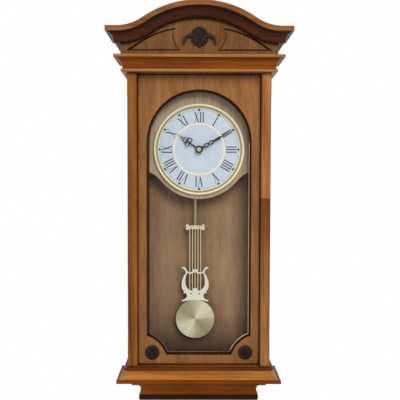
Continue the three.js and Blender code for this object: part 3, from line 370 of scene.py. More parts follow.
def dial_material():
    """Bluish white pearl finish with faint clouds."""
    surface = Surface("dial_print", Specular_IOR_Level=0.3, Coat_Weight=0.1, Coat_Roughness=0.16)
    cloud = surface.pattern(44, detail=5, roughness=0.62, distortion=1.4)
    speck = surface.pattern(700, detail=2)
    pearl = surface.ramp(cloud, 0.2, PEARL_TONES)
    specks = surface.scaled(speck, 0.0, 0.2, 0.4, 0.7)
    surface.feed("Base Color", surface.mix(specks, pearl, srgb(216, 216, 222)))
    surface.grain(speck, 0.4, 0.5, 0.02, 0.3)
    return surface.material


def board_material():
    """The matt, dusty-coloured veneer around the dial."""
    surface = Surface("dial_board_finish", Specular_IOR_Level=0.3)
    streaks = surface.pattern(along("z", 190, 7), detail=4, distortion=0.3)
    mottle = surface.pattern(26, detail=4)
    base = surface.ramp(streaks, 0.2, BOARD_TONES)
    surface.feed("Base Color", surface.tinted(base, surface.spread(mottle, 0.88, 1.1)))
    surface.feed("Roughness", surface.spread(mottle, 0.55, 0.75))
    surface.bump(streaks, 0.08, 0.4)
    return surface.material


def spun_material(centre):
    """Brass turned on a lathe: fine rings around the middle, which pull highlights into wedges. Bright
    and dark wedges are also painted into its colour, as painted highlight and painted shade.
    """
    surface = Surface("spun_brass", Metallic=1.0, Anisotropic=0.85, Roughness=0.3)
    surface.feed("Tangent", surface.node("Tangent", direction_type="RADIAL", axis="Y").outputs[0])
    from_centre = surface.vector("SUBTRACT", surface.coordinates, tuple(centre))[0]
    flat = surface.vector("MULTIPLY", from_centre, (1, 0, 1))[0]
    radius = surface.vector("LENGTH", flat)["Value"]
    outward = surface.vector("NORMALIZE", flat)[0]
    rings = surface.noise(surface.node("CombineXYZ", {"X": radius}).outputs[0], 4200)
    brushed = surface.noise(outward, 3.2, detail=6, roughness=0.7)
    parts = surface.node("SeparateXYZ", {0: outward}).outputs
    # Painted highlight and painted shade: bright and dark wedges by direction from the middle.
    painted_wedges = surface.scaled(surface.math("MULTIPLY", parts["X"], parts["Z"]), 0.0, 0.75, -0.5, 0.5)
    brushed_and_painted_wedges = surface.math("ADD", painted_wedges, surface.spread(brushed, 0.0, 0.3))
    tone = surface.ramp(brushed_and_painted_wedges, 0.4, SPUN_TONES)
    surface.feed("Base Color", surface.mix(surface.spread(rings, 0.0, 0.2), tone, srgb(166, 156, 116)))
    surface.bump(rings, 0.02, 0.35)
    return surface.material


def glass_material():
    """Clear float glass: light goes straight through, and the near face reflects a little."""
    surface = Surface("glass", Base_Color=srgb(236, 240, 238), Metallic=1.0)
    surface.feed("Roughness", surface.spread(surface.pattern(14), 0.02, 0.06))
    fresnel = surface.node("Fresnel", {"IOR": 1.28}).outputs[0]
    outside = surface.math("SUBTRACT", 1.0, surface.node("NewGeometry").outputs["Backfacing"])
    reflected = surface.math("MULTIPLY", fresnel, outside)
    clear = surface.node("BsdfTransparent", {"Color": (0.975, 0.975, 0.972, 1)})
    mixed = surface.node("MixShader", {0: reflected, 1: clear.outputs[0], 2: surface.shader.outputs[0]})
    surface.tree.links.new(mixed.outputs[0], surface.output.inputs["Surface"])
    return surface.material


# ---- pieces


def smoothed(mesh, angle):
    """Smooth shading up to that turn. A large flat face keeps its flat shading beside small ones."""
    mesh.shade_smooth()
    mesh.set_sharp_from_angle(angle=radians(angle))
    least_turn, much_larger = radians(0.5), 15
    bm = bmesh.new()
    bm.from_mesh(mesh)
    for edge in bm.edges:
        if len(edge.link_faces) == 2 and edge.calc_face_angle() > least_turn:
            small, large = sorted(face.calc_area() for face in edge.link_faces)
            if large > much_larger * small:
                edge.smooth = False
    bm.to_mesh(mesh)
    bm.free()


def finish_piece(name, mesh, body, materials, replaced=(), smooth_angle=32):
    """Links a mesh as a piece that rides on a body."""
    for material in materials if isinstance(materials, (list, tuple)) else [materials]:
        mesh.materials.append(material)
    smoothed(mesh, smooth_angle)
    piece = linked(name, mesh)
    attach(piece, body)
    if replaced:
        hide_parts(*replaced)
    return piece


def finish_node(node, mesh, body, materials, smooth_angle=32):
    """A piece that stands for the CAD node of its name."""
    return finish_piece(f"{node}_finish", mesh, body, materials, [node], smooth_angle)


def mesh_from(name, bm):
    bmesh.ops.recalc_face_normals(bm, faces=bm.faces)
    mesh = bpy.data.meshes.new(name)
    bm.to_mesh(mesh)
    bm.free()
    return mesh


def softened(node, body, material, width, segments=2):
    """A copy of a CAD node with its corners eased, as sanding or moulding leaves them."""
    flattest, least_corner = radians(1), radians(28)
    bm = bmesh.new()
    bm.from_mesh(frame["nodes"][node].data)
    bmesh.ops.remove_doubles(bm, verts=bm.verts, dist=1e-6)
    bmesh.ops.dissolve_limit(bm, angle_limit=flattest, verts=bm.verts, edges=bm.edges)
    corners = [e for e in bm.edges if len(e.link_faces) == 2 and e.calc_face_angle() > least_corner]
    bmesh.ops.bevel(bm, geom=corners, offset=width * MM, offset_type="OFFSET", segments=segments,
                    profile=0.5, affect="EDGES", clamp_overlap=True)
    return finish_node(node, mesh_from(node, bm), body, material)


def kept(node, material):
    """A CAD node that shows as it is, with its own surface."""
    item = frame["nodes"][node]
    if not item.material_slots:
        item.data.materials.append(material)
    for slot in item.material_slots:
        slot.material = material


# ---- outlines


def arc(x, z, radius_x, radius_z, start, end, steps):
    """Points of an elliptical arc, angles in degrees."""
    angles = [radians(start + (end - start) * i / steps) for i in range(steps + 1)]
    return [(x + radius_x * cos(a), z + radius_z * sin(a)) for a in angles]


def circle(x, z, radius, count):
    """A closed ring of points."""
    return arc(x, z, radius, radius, 0, 360 * (count - 1) / count, count - 1)


def bezier(controls, steps):
    """Points of a Bezier curve, without its first point."""
    degree = len(controls) - 1
    points = []
    for i in range(1, steps + 1):
        t = i / steps
        weights = [comb(degree, k) * (1 - t) ** (degree - k) * t ** k for k in range(degree + 1)]
        points.append(tuple(sum(w * p[k] for w, p in zip(weights, controls)) for k in (0, 1)))
    return points


def mirrored(right_half):
    """The closed outline whose right half runs from its top to its bottom point on x = 0."""
    left = [(-x, z) for x, z in reversed(right_half) if abs(x) > 1e-6]
    return list(right_half) + left


def turned(points, clockwise):
    """The outline run in that direction."""
    pairs = zip(points, points[1:] + points[:1])
    area = sum(x0 * z1 - x1 * z0 for (x0, z0), (x1, z1) in pairs)
    return list(reversed(points)) if (area < 0) != clockwise else list(points)


def without_repeats(points, least=0.02):
    return [p for p, q in zip(points, points[-1:] + points[:-1]) if dist(p, q) > least]


def moved_in(points, distance):
    """The outline moved to the left of its own direction, mitred at its corners."""
    sharpest_mitre = 0.35
    count = len(points)
    result = []
    for i, (x, z) in enumerate(points):
        before, after = points[i - 1], points[(i + 1) % count]
        first = Vector((x - before[0], z - before[1])).normalized()
        second = Vector((after[0] - x, after[1] - z)).normalized()
        normal = Vector((-first.y - second.y, first.x + second.x))
        normal = normal.normalized() if normal.length > 1e-6 else Vector((-first.y, first.x))
        stretch = max(normal.dot(Vector((-first.y, first.x))), sharpest_mitre)
        result.append((x + normal.x * distance / stretch, z + normal.y * distance / stretch))
    return result


def eased(points, radius):
    """A closed outline with its corners rounded."""
    least_turn, longest_cut, steps = 30, 0.45, 3
    result = []
    count = len(points)
    for i, here in enumerate(points):
        before, after = Vector(points[i - 1]), Vector(points[(i + 1) % count])
        corner = Vector(here)
        back, ahead = before - corner, after - corner
        turn = 180 - degrees(back.angle(ahead))
        if turn < least_turn:
            result.append(tuple(here))
            continue
        cut = min(radius, back.length * longest_cut, ahead.length * longest_cut)
        start = tuple(corner + back.normalized() * cut)
        end = tuple(corner + ahead.normalized() * cut)
        result.append(start)
        result.extend(bezier((start, here, end), steps))
    return result


# ---- mesh makers


def ring_of(bm, points, y, centre=(0, 0)):
    return [bm.verts.new(spot(x + centre[0], y, z + centre[1])) for x, z in points]


def joined_rings(bm, first, second, index=0):
    """Faces between two rings. The index of their material is one number or a list of one for each."""
    count = len(first)
    for i in range(count):
        j = (i + 1) % count
        face = bm.faces.new((first[i], first[j], second[j], second[i]))
        face.material_index = index[i] if isinstance(index, list) else index


def filled(bm, rings):
    """A flat face inside the first ring and outside the others."""
    edges = []
    for ring in rings:
        for i, vert in enumerate(ring):
            other = ring[(i + 1) % len(ring)]
            edges.append(bm.edges.get((vert, other)) or bm.edges.new((vert, other)))
    bmesh.ops.triangle_fill(bm, use_beauty=True, use_dissolve=False, edges=edges)


def plate(name, outer, holes, front, back, edge, steps, hole_edge=None, edge_index=0):
    """A flat plate seen from the front, with rounded front and back edges and holes through it. The
    holes' edges may be rounder, and have a material of their own."""
    bm = bmesh.new()
    outlines = [(turned(without_repeats(outer), False), edge)]
    outlines += [(turned(without_repeats(h), True), edge if hole_edge is None else hole_edge) for h in holes]
    angles = [pi / 2 * step / steps for step in range(steps + 1)]
    fronts, backs = [], []
    for number, (outline, rounding) in enumerate(outlines):
        back_rounding = min(rounding, edge, (back - front) / 3)
        sections = [(rounding * (1 - sin(a)), front + rounding * (1 - cos(a))) for a in angles]
        sections += [(back_rounding * (1 - cos(a)), back - back_rounding * (1 - sin(a)))
                     for a in angles]
        rings = [ring_of(bm, moved_in(outline, inset), y) for inset, y in sections]
        for first, second in zip(rings, rings[1:]):
            joined_rings(bm, first, second, edge_index if number else 0)
        fronts.append(rings[0])
        backs.append(rings[-1])
    filled(bm, fronts)
    filled(bm, backs)
    return mesh_from(name, bm)


def turned_on_axis(name, profile, segments, centre=None, closed=False):
    """A piece turned around the y direction, around the dial's middle if no centre is given. The
    profile is (radius, y)."""
    centre = centre or (0, DIAL)
    bm = bmesh.new()
    rings = []
    for radius, y in profile:
        if radius < 1e-6:
            rings.append([bm.verts.new(spot(centre[0], y, centre[1]))])
        else:
            rings.append(ring_of(bm, circle(0, 0, radius, segments), y, centre))
    pairs = list(zip(rings, rings[1:]))
    if closed:
        pairs.append((rings[-1], rings[0]))
    for first, second in pairs:
        if len(first) == 1 or len(second) == 1:
            tip, rim = (first[0], second) if len(first) == 1 else (second[0], first)
            for i in range(segments):
                bm.faces.new((tip, rim[i], rim[(i + 1) % segments]))
        else:
            joined_rings(bm, first, second)
    return mesh_from(name, bm)


def lofted(name, rings, indices):
    """A closed solid through rings of points in the row frame, with flat ends."""
    bm = bmesh.new()
    made = [[bm.verts.new(point) for point in ring] for ring in rings]
    for first, second in zip(made, made[1:]):
        joined_rings(bm, first, second, indices)
    bm.faces.new(made[0])
    bm.faces.new(made[-1])
    bm.normal_update()
    bmesh.ops.triangulate(bm, faces=[f for f in bm.faces if len(f.verts) > 4])
    return mesh_from(name, bm)


def parts_of(profile, bands):
    """For each side of a profile, the number of the band that holds its middle, or 0. A band is
    (least overhang, most overhang, lowest, highest)."""
    indices = []
    for (o0, h0), (o1, h1) in zip(profile, profile[1:] + profile[:1]):
        o, h = (o0 + o1) / 2, (h0 + h1) / 2
        inside = [k for k, (a, b, c, d) in enumerate(bands, start=1) if a < o < b and c < h < d]
        indices.append(inside[0] if inside else 0)
    return indices


def front_run(name, profile, bands, stations=12, curve=None):
    """A moulding across the front, mitred at both ends. The profile is (overhang, height). A curve
    takes x and the profile's height, and gives the height there."""
    rings = []
    for station in range(stations + 1):
        place = 2 * station / stations - 1
        ring = []
        for overhang, height in profile:
            x = place * (CASE_HALF + overhang - MITRE_GAP)
            ring.append(spot(x, CASE_FRONT - overhang, curve(x, height) if curve else height))
        rings.append(ring)
    return lofted(name, rings, parts_of(profile, bands))


def side_run(name, profile, side, bands, stations=6):
    """The same moulding along one side, from its mitre back to the wall."""
    rings = []
    for station in range(stations + 1):
        part = 1 - station / stations
        rings.append([
            spot(side * (CASE_HALF + o), (CASE_FRONT - o + MITRE_GAP) * part, h) for o, h in profile])
    return lofted(name, rings, parts_of(profile, bands))


# ---- mouldings

CORNER = 0.5
# Bands of a profile that take tones of their own: least and most overhang, lowest and highest.
BASE_EDGE = (-1, 19, 39, 45.8)
BASE_BEAD = (-1, 19, 59.5, 66)
CORNICE_COVE = (7.0, 20.6, 578.6, 596.9)
CROWN_COVE = (10, 29.7, -25.6, -8.3)


def foot_profile():
    neck = (-21.2, 19.0)
    points = [(-36, 9.7), (-18, 9.7)] + bezier(((-18, 9.7), (-21.2, 11.7), neck), 8)
    points += arc(-5.5, 19, 15.7, 11.5, 180, 90, 18)[1:]
    points += [(-5.5, 39.6), (-36, 39.6)]
    return eased(points, CORNER)


def base_profile():
    points = [(WALL_GAP, 39.9), (18.3, 39.9), (18.3, 45.5)]
    points += arc(16.8, 59.6, 14.1, 14.1, -90, -180, 18)
    points += arc(4.2, 62.6, 2.4, 2.4, -90, 90, 12)
    points += [(WALL_GAP, 65)]
    return eased(without_repeats(points), CORNER)


def cornice_profile():
    points = [(WALL_GAP, 573.6)] + arc(7.6, 576.2, 2.6, 2.6, -90, 90, 12)
    points += [(7.3, 578.9)] + arc(19, 581.6, 11.7, 15.1, 180, 90, 18)
    points += [(21, 596.7), (21, 601.6), (WALL_GAP, 601.6)]
    return eased(without_repeats(points), CORNER)


CROWN_TOP = 688.8
CROWN_RADIUS = 168.0
CROWN_CENTRE = CROWN_TOP - CROWN_RADIUS
FILLET_RADIUS = 76.6
SHOULDER = 646.0
FILLET_CENTRE = SHOULDER + FILLET_RADIUS
CROWN_TURN = acos((FILLET_CENTRE - CROWN_CENTRE) / (CROWN_RADIUS + FILLET_RADIUS))
FILLET_X = (CROWN_RADIUS + FILLET_RADIUS) * sin(CROWN_TURN)
CROWN_STATIONS = 96


def crown_height(x, rise):
    """Height of the curve parallel to the crown's outline, at that rise above it."""
    x = abs(x)
    if x <= (CROWN_RADIUS + rise) * sin(CROWN_TURN):
        return CROWN_CENTRE + sqrt((CROWN_RADIUS + rise) ** 2 - x * x)
    if x < FILLET_X:
        return FILLET_CENTRE - sqrt((FILLET_RADIUS - rise) ** 2 - (FILLET_X - x) ** 2)
    return SHOULDER + rise


def crown_profile():
    """As (overhang, rise above the crown's outline)."""
    points = [(10.1, 0), (10.1, -25.5), (18.7, -25.5), (18.7, -24)]
    points += arc(29.5, -24, 9.3, 14, 180, 90, 16)
    points += [(29.5, -8.5), (33.5, -8.5), (33.5, 0)]
    return eased(without_repeats(points), CORNER)


def moulding(name, front, profile, bands, tone_sets, front_node, side_node):
    """A front run with its two side runs. The first tones are the moulding's own, and each band has
    the next ones."""

    def looks(place, axis):
        return [wood(f"{name}_{place}_wood_{i}", *t, axis=axis) for i, t in enumerate(tone_sets)]

    finish_piece(f"{name}_front_finish", front, "case", looks("front", "x"), [front_node])
    for side_name, side in SIDES:
        run = side_run(name, profile, side, bands)
        finish_piece(f"{name}_{side_name}_finish", run, "case", looks(side_name, "y"),
                     [f"{side_node}_{side_name}"])


def mouldings():
    base_tones = [RED_TONES, BASE_EDGE_TONES, BASE_BEAD_TONES]
    for name, slot, profile, bands, tone_sets in (
        ("foot_moulding", "dark_oak", foot_profile(), (), [FOOT_MOULDING_TONES]),
        ("base_moulding", "oak", base_profile(), (BASE_EDGE, BASE_BEAD), base_tones),
        ("cornice", "oak", cornice_profile(), (CORNICE_COVE,), [TAN_TONES, CORNICE_COVE_STAIN_AND_SHADE_TONES]),
    ):
        front = front_run(name, profile, bands)
        moulding(name, front, profile, bands, tone_sets, f"{name}_front", name)
    profile = crown_profile()
    front = front_run("crown", profile, (CROWN_COVE,), CROWN_STATIONS, crown_height)
    side_profile = [(overhang, SHOULDER + rise) for overhang, rise in profile]
    least, most, low, high = CROWN_COVE
    side_cove = (least, most, SHOULDER + low, SHOULDER + high)
    moulding("crown", front, side_profile, (side_cove,), [CROWN_TONES, CROWN_COVE_STAIN_AND_SHADE_TONES],
             "crown_moulding_front", "crown_return")


mouldings()


# ---- boards

# The back panel's painted shade darkens it from the second height down to the first.
BACK_SHADE = (78, 150)
SIDE_JOINT = (359, 190, JOINT_TONES)
FRIEZE_FACE = -88.8
GROOVE_REACH = (0.02, 1.7)
GROOVED_HALF, GROOVED_LOW, GROOVED_HIGH = 125, 607, 648


def case_board(node, slot, tone_set, width, segments=2, **figure):
    """A board of the case with its corners eased, in a wood of its own."""
    return softened(node, "case", wood(f"{node}_wood", *tone_set, **figure), width, segments)


def stain_grooves(piece):
    """The engraved lines are painted darker than the face that they are cut in: painted shade in the grooves.
    """
    piece.data.materials.append(wood("groove_painted_shade_wood", *GROOVE_SHADE_TONES))
    shallow, deep = (FRIEZE_FACE + reach for reach in GROOVE_REACH)
    for polygon in piece.data.polygons:
        x, y, z = polygon.center
        inside = abs(x) < GROOVED_HALF * MM and level(GROOVED_LOW) < z < level(GROOVED_HIGH)
        if inside and shallow * MM < y < deep * MM:
            polygon.material_index = 1


# Painted shade over the back panel reaches far out from the case's corners and floor.
case_board("back_panel", "panel_wood", PANEL_TONES, 0.3, contrast=0.8, stain=SOFT_HOLLOW_SHADE, reach=50.0,
           figure_scales=VENEER, low_shade=BACK_SHADE)
case_board("left_side_board", "oak", POST_LEFT_SHADED_TONES, 0.5, reach=4.0)
case_board("right_side_board", "oak", POST_RIGHT_LIT_TONES, 0.5, reach=4.0, joint=SIDE_JOINT)
for side_name, _ in SIDES:
    case_board(f"frieze_side_{side_name}", "frieze_wood", FRIEZE_TONES, 0.5, axis="y")
    kept(f"dial_board_cleat_{side_name}", wood(f"cleat_{side_name}_wood", *PANEL_TONES))
for node in ("case_top_board", "case_floor_board", "cornice_cap_board"):
    case_board(node, "oak", OAK_TONES, 0.4, axis="x")
case_board("foot_plate", "foot_wood", FOOT_TONES, 0.6, 3, axis="x")
stain_grooves(case_board("frieze_board", "frieze_wood", FRIEZE_TONES, 0.8, reach=5.0, figure_scales=VENEER))
case_board("crown_roof_sheet", "dark_oak", CROWN_TONES, 0.3, axis="y")
case_board("hanging_rail", "panel_wood", PANEL_TONES, 0.5, axis="x")


# ---- door

OPENING_HALF = 90.2
OPENING_BOTTOM = 83.4
ARCH_CENTRE = 455.7
LOBE_X, LOBE_HEIGHT, LOBE_RADIUS = 107.76, 65.84, 54.0
DOOR_RIGHT, DOOR_LEFT, DOOR_BOTTOM, DOOR_TOP = 105.9, -106.3, 66.3, 572.3
DOOR_FRONT, DOOR_BACK = -65.0, -53.0
LIP_DEPTH = 4
LIP_OUTER, LIP_INNER = 0.3, 3.3
# Painted light on the lip's edge: a painted highlight right of the first and below the second, rosy
# painted light below the third, and painted shade on the rest.
LIP_HIGHLIGHT_X, LIP_HIGHLIGHT_HEIGHT, LIP_BOTTOM_LIGHT_HEIGHT = 56, 400, 124
PANE_OVERLAP = 5
PANE_THICKNESS = 2.0


def opening(inset):
    """The door's opening: an arch, straight sides and a round lobe across each lower corner."""
    half = OPENING_HALF - inset
    bottom = OPENING_BOTTOM + inset
    radius = LOBE_RADIUS + inset
    start = degrees(acos((half - LOBE_X) / radius))
    end = 180 - degrees(asin((bottom - LOBE_HEIGHT) / radius))
    points = arc(0, ARCH_CENTRE, half, half, 90, 0, 36)
    points += arc(LOBE_X, LOBE_HEIGHT, radius, radius, start, end, 22)
    points += [(0, bottom)]
    return mirrored(points)


def door_panel():
    outer = [(DOOR_RIGHT, DOOR_BOTTOM), (DOOR_RIGHT, DOOR_TOP)]
    outer += [(DOOR_LEFT, DOOR_TOP), (DOOR_LEFT, DOOR_BOTTOM)]
    veneer = wood("door_veneer_wood", *DOOR_TONES, gloss=0.38, coat=0.12, reach=4.0, figure_scales=VENEER)
    # The opening's rounded edge is darker than the door's face.
    stained = wood("opening_edge_wood", *OPENING_TONES, gloss=0.34)
    panel = plate("door", outer, [opening(0)], DOOR_FRONT, DOOR_BACK, 0.8, 4, hole_edge=1.2, edge_index=1)
    finish_node("door_panel", panel, "door", [veneer, stained])


def glass_frame():
    """The lip that holds the glass. Its inner edge has a painted highlight on one side only, with
    painted light along the bottom and painted shade elsewhere.
    """
    lip = plate("lip", opening(LIP_OUTER), [opening(LIP_INNER)], DOOR_BACK - LIP_DEPTH, DOOR_BACK, 0.2, 4,
                hole_edge=1.4, edge_index=1)
    # Each face of the lip's edge takes painted highlight, painted light or painted shade by where it lies.
    for polygon in lip.polygons:
        x, _, z = polygon.center
        painted_highlight = x >= LIP_HIGHLIGHT_X * MM and z <= level(LIP_HIGHLIGHT_HEIGHT)
        if polygon.material_index == 1 and not painted_highlight:
            polygon.material_index = 2 if z < level(LIP_BOTTOM_LIGHT_HEIGHT) else 3
    looks = [wood("lip_wood", *LIP_TONES, gloss=0.4)]
    looks += [wood(name, *tone_set, gloss=gloss, coat=coat) for name, tone_set, gloss, coat in (
        ("lip_edge_painted_highlight", LIP_HIGHLIGHT_TONES, 0.16, 1.0), ("lip_bottom_painted_light", LIP_BOTTOM_LIGHT_TONES, 0.2, 0.6),
        ("lip_left_painted_shade", LIP_LEFT_SHADE_TONES, 0.2, 0.6))]
    finish_node("glass_frame", lip, "door", looks)


def door_glass():
    near = DOOR_BACK + GLUE_GAP
    pane = plate("pane", opening(-PANE_OVERLAP), [], near, near + PANE_THICKNESS, 0.3, 2)
    finish_node("door_glass", pane, "door", glass_material())


door_panel()
glass_frame()
door_glass()


# ---- carved ornaments


def leaf_height(grid_x, grid_z, spine, widths, heights, vein):
    """Inside value and height of one carved leaf. Its spine is a polyline with a width and a height
    at each point, and its vein a groove of that depth along it. The inside value falls from 1 on the
    spine to 0 at the edge."""
    vein_width = 0.55
    best = np.full(grid_x.shape, 1e9)
    at_width = np.ones(grid_x.shape)
    at_height = np.zeros(grid_x.shape)
    for i in range(len(spine) - 1):
        (x0, z0), (x1, z1) = spine[i], spine[i + 1]
        dx, dz = x1 - x0, z1 - z0
        length = max(dx * dx + dz * dz, 1e-9)
        t = np.clip(((grid_x - x0) * dx + (grid_z - z0) * dz) / length, 0, 1)
        distance = np.hypot(grid_x - x0 - t * dx, grid_z - z0 - t * dz)
        width = widths[i] + (widths[i + 1] - widths[i]) * t
        score = distance / np.maximum(width, 1e-3)
        nearer = score < best
        best = np.where(nearer, score, best)
        at_width = np.where(nearer, width, at_width)
        at_height = np.where(nearer, heights[i] + (heights[i + 1] - heights[i]) * t, at_height)
    inside = 1 - best ** 2
    round_top = np.sqrt(np.clip(inside, 0, 1))
    groove = vein * np.exp(-((best * at_width / vein_width) ** 2))
    return inside, at_height * round_top - groove * np.clip(inside, 0, 1)


def relief(name, leaves, centre, face, half_x, low_z, high_z, step):
    """A closed mesh of carved leaves on a flat back. Each leaf is (spine, widths, heights, vein)."""
    thinnest = 0.12
    xs = np.arange(-half_x, half_x + step, step)
    zs = np.arange(low_z, high_z + step, step)
    grid_x, grid_z = np.meshgrid(xs, zs, indexing="ij")
    inside = np.full(grid_x.shape, -1e9)
    height = np.zeros(grid_x.shape)
    for leaf in leaves:
        value, rise = leaf_height(grid_x, grid_z, *leaf)
        inside = np.maximum(inside, value)
        height = np.maximum(height, np.where(value > 0, rise, 0))
    solid = inside > 0
    bm = bmesh.new()
    made = {}

    def put(x, z, rise):
        return bm.verts.new(spot(centre[0] + x, face - rise, centre[1] + z))

    def corner(i, j):
        """The front and the back vertex there. At the rim they are one, moved to the edge."""
        if (i, j) in made:
            return made[i, j]
        x, z = grid_x[i, j], grid_z[i, j]
        if solid[i, j]:
            made[i, j] = put(x, z, max(height[i, j], thinnest)), put(x, z, 0)
            return made[i, j]
        shifts = []
        for di, dj in ((1, 0), (-1, 0), (0, 1), (0, -1)):
            a, b = i + di, j + dj
            if 0 <= a < len(xs) and 0 <= b < len(zs) and solid[a, b]:
                part = inside[i, j] / (inside[i, j] - inside[a, b])
                shifts.append(((grid_x[a, b] - x) * part, (grid_z[a, b] - z) * part))
        if shifts:
            x += sum(s[0] for s in shifts) / len(shifts)
            z += sum(s[1] for s in shifts) / len(shifts)
        made[i, j] = (put(x, z, 0),) * 2
        return made[i, j]

    for i in range(len(xs) - 1):
        for j in range(len(zs) - 1):
            cell = ((i, j), (i + 1, j), (i + 1, j + 1), (i, j + 1))
            if sum(solid[c] for c in cell) < 2:
                continue
            pairs = [corner(*c) for c in cell]
            bm.faces.new([p[0] for p in pairs])
            if any(p[0] is not p[1] for p in pairs):
                bm.faces.new([p[1] for p in reversed(pairs)])
    return mesh_from(name, bm)


# For points along a straight leaf: how far along, and the parts of its full width and height.
LEAF = ((0.0, 0.4, 0.8), (0.3, 0.62, 0.95), (0.6, 0.85, 1.0), (0.85, 1.0, 1.0), (1, 0.95, 0.85))


def fan_leaf(angle, inner, outer, width, height, vein):
    """A straight leaf that points outward from the middle, angle in degrees clockwise from upright."""
    direction = (sin(radians(angle)), cos(radians(angle)))
    spine = []
    for along_leaf, _, _ in LEAF:
        reach = inner + (outer - inner) * along_leaf
        spine.append((direction[0] * reach, direction[1] * reach))
    return spine, [width * w for _, w, _ in LEAF], [height * h for _, _, h in LEAF], vein


def dome(half_length, z, radius, height):
    """A round boss, or a short level ridge, as a leaf."""
    return [(-half_length, z), (half_length, z)], [radius] * 2, [height] * 2, 0


def crest():
    """A shell of leaves with a horn curling down at each side."""
    leaves = []
    for angle, outer in ((0, 14.8), (23, 14.4), (47, 13.2), (72, 11.8)):
        size = (3, outer, 3.1, 5.6 - angle * 0.012, 1.3)
        leaves += [fan_leaf(angle, *size), fan_leaf(-angle, *size)]
    for angle, outer in ((118, 12.6), (148, 12.4)):
        leaves += [fan_leaf(turn, 3, outer, 3.4, 4.6, 1.0) for turn in (angle, -angle)]
    leaves.append(fan_leaf(180, 3, 13.6, 3.4, 4.8, 1.0))
    widths = [2.5, 2.8, 3.0, 3.1, 3.1, 3.0, 2.9, 2.8, 2.6, 2.4, 2.0, 1.6, 0.9]
    heights = [4.4 - 0.13 * i for i in range(len(widths))]
    for side in (1, -1):
        root = (side * 7, -1.5)
        curl = bezier((root, (side * 14, 5.6), (side * 26.4, 2.6), (side * 26.4, -12.6)), len(widths) - 1)
        leaves.append(([root] + curl, widths, heights, 0.5))
    leaves += [dome(2.0, -0.5, 4.9, 5.2), dome(1.4, -0.5, 2.9, 7.0)]
    mesh = relief("crest", leaves, (0, 631), FRIEZE_FACE - GLUE_GAP, 29, -19, 20, 0.4)
    finish_node("crest_ornament", mesh, "case", RESIN, 60)


def rosettes():
    """A disc with a ring of petals, a ring of tips between them, and a boss."""
    petals = 8
    leaves = [dome(0.01, 0, 11.9, 1.0)]
    for i in range(petals):
        leaves.append(fan_leaf((i + 0.5) * 360 / petals, 3.6, 9.9, 3.1, 3.4, 1.4))
        leaves.append(fan_leaf(i * 360 / petals, 7.4, 10.7, 2.2, 2.2, 0.3))
    leaves.append(dome(0.01, 0, 2.7, 3.6))
    for side_name, side in SIDES:
        name = f"rosette_{side_name}"
        mesh = relief(name, leaves, (side * 81.7, 86.7), DOOR_FRONT - GLUE_GAP, 14, -14, 14, 0.35)
        finish_node(name, mesh, "door", RESIN, 60)


RESIN = resin_material()
crest()
rosettes()


# ---- dial

DIAL = 444.2
DIAL_FRONT, DIAL_BACK = -39.3, -38.3
ARBOR_HOLE = 4.3
FINE_TURN = 128
NUMERAL_FOOT, NUMERAL_HEIGHT = 48.1, 18.1
THICK, THIN = 1.85, 0.7
SERIF = 0.42
DOT_CIRCLE, DOT_RADIUS = 69.7, 2.0
MINUTE_CIRCLES = (69.2, 70.6)
MINUTE_LINE = 0.1
# The olive band of the bezel, as its inner and outer radius, and how far back it reaches.
OLIVE_INNER, OLIVE_OUTER, OLIVE_BACK = 73, 76.7, -40.5


def dial_board():
    """A rectangle whose lower end curves round the dial, with a hollow flare at each side."""
    half, top = 106.7, 572.7
    radius, flare_x, flare_radius = 87.7, 108.3, 52.0
    drop = sqrt((radius + flare_radius) ** 2 - flare_x ** 2)
    tangent = degrees(atan2(drop, flare_x))
    start = degrees(acos((half - flare_x) / flare_radius))
    points = [(0, top), (half, top)]
    points += arc(flare_x, DIAL - drop, flare_radius, flare_radius, start, 180 - tangent, 20)
    points += arc(0, DIAL, radius, radius, -tangent, -90, 28)[1:]
    hole = circle(0, DIAL, ARBOR_HOLE, 24)
    mesh = plate("dial_board", mirrored(points), [hole], -38, -33, 0.5, 3)
    finish_node("dial_board", mesh, "case", board_material())


def dial_plate():
    profile = [(ARBOR_HOLE, DIAL_BACK), (ARBOR_HOLE, DIAL_FRONT + 0.1), (ARBOR_HOLE + 0.2, DIAL_FRONT),
               (76.2, DIAL_FRONT), (76.5, DIAL_FRONT + 0.2), (76.5, DIAL_BACK)]
    mesh = turned_on_axis("dial_plate", profile, FINE_TURN, closed=True)
    finish_node("dial_plate", mesh, "case", dial_material())


def dial_ring():
    profile = [(43.1, DIAL_FRONT), (43.1, -39.9), (43.4, -40.2), (44.7, -40.35), (46.0, -40.2), (46.3, -39.9),
               (46.3, DIAL_FRONT)]
    mesh = turned_on_axis("dial_ring", profile, FINE_TURN, closed=True)
    finish_piece("dial_ring", mesh, "case", CREAM_GILT)


def dial_bezel():
    """A spun ring: a thin lip over the dial, a sloping band, and a rolled rim."""
    outer, roll, front = 80.4, 1.7, -44.0
    middle = outer - roll
    profile = [(76.8, DIAL_BACK), (76.8, -39.5), (72.0, -39.5), (72.0, -40.2), (72.4, -40.6), (73.0, -40.6)]
    profile += [(middle - roll - 0.5, front + roll + 0.4), (middle - roll, front + roll)]
    profile += arc(middle, front + roll, roll, roll, 180, 360, 12)[1:]
    profile += [(outer, DIAL_BACK)]
    mesh = turned_on_axis("dial_bezel", profile, 160, closed=True)
    for polygon in mesh.polygons:
        x, y, z = polygon.center
        radius = hypot(x, z - level(DIAL))
        olive = OLIVE_INNER * MM < radius < OLIVE_OUTER * MM and y < OLIVE_BACK * MM
        polygon.material_index = 1 if olive else 0
    finish_node("dial_bezel", mesh, "case", [CREAM_GILT, OLIVE_GILT], 50)


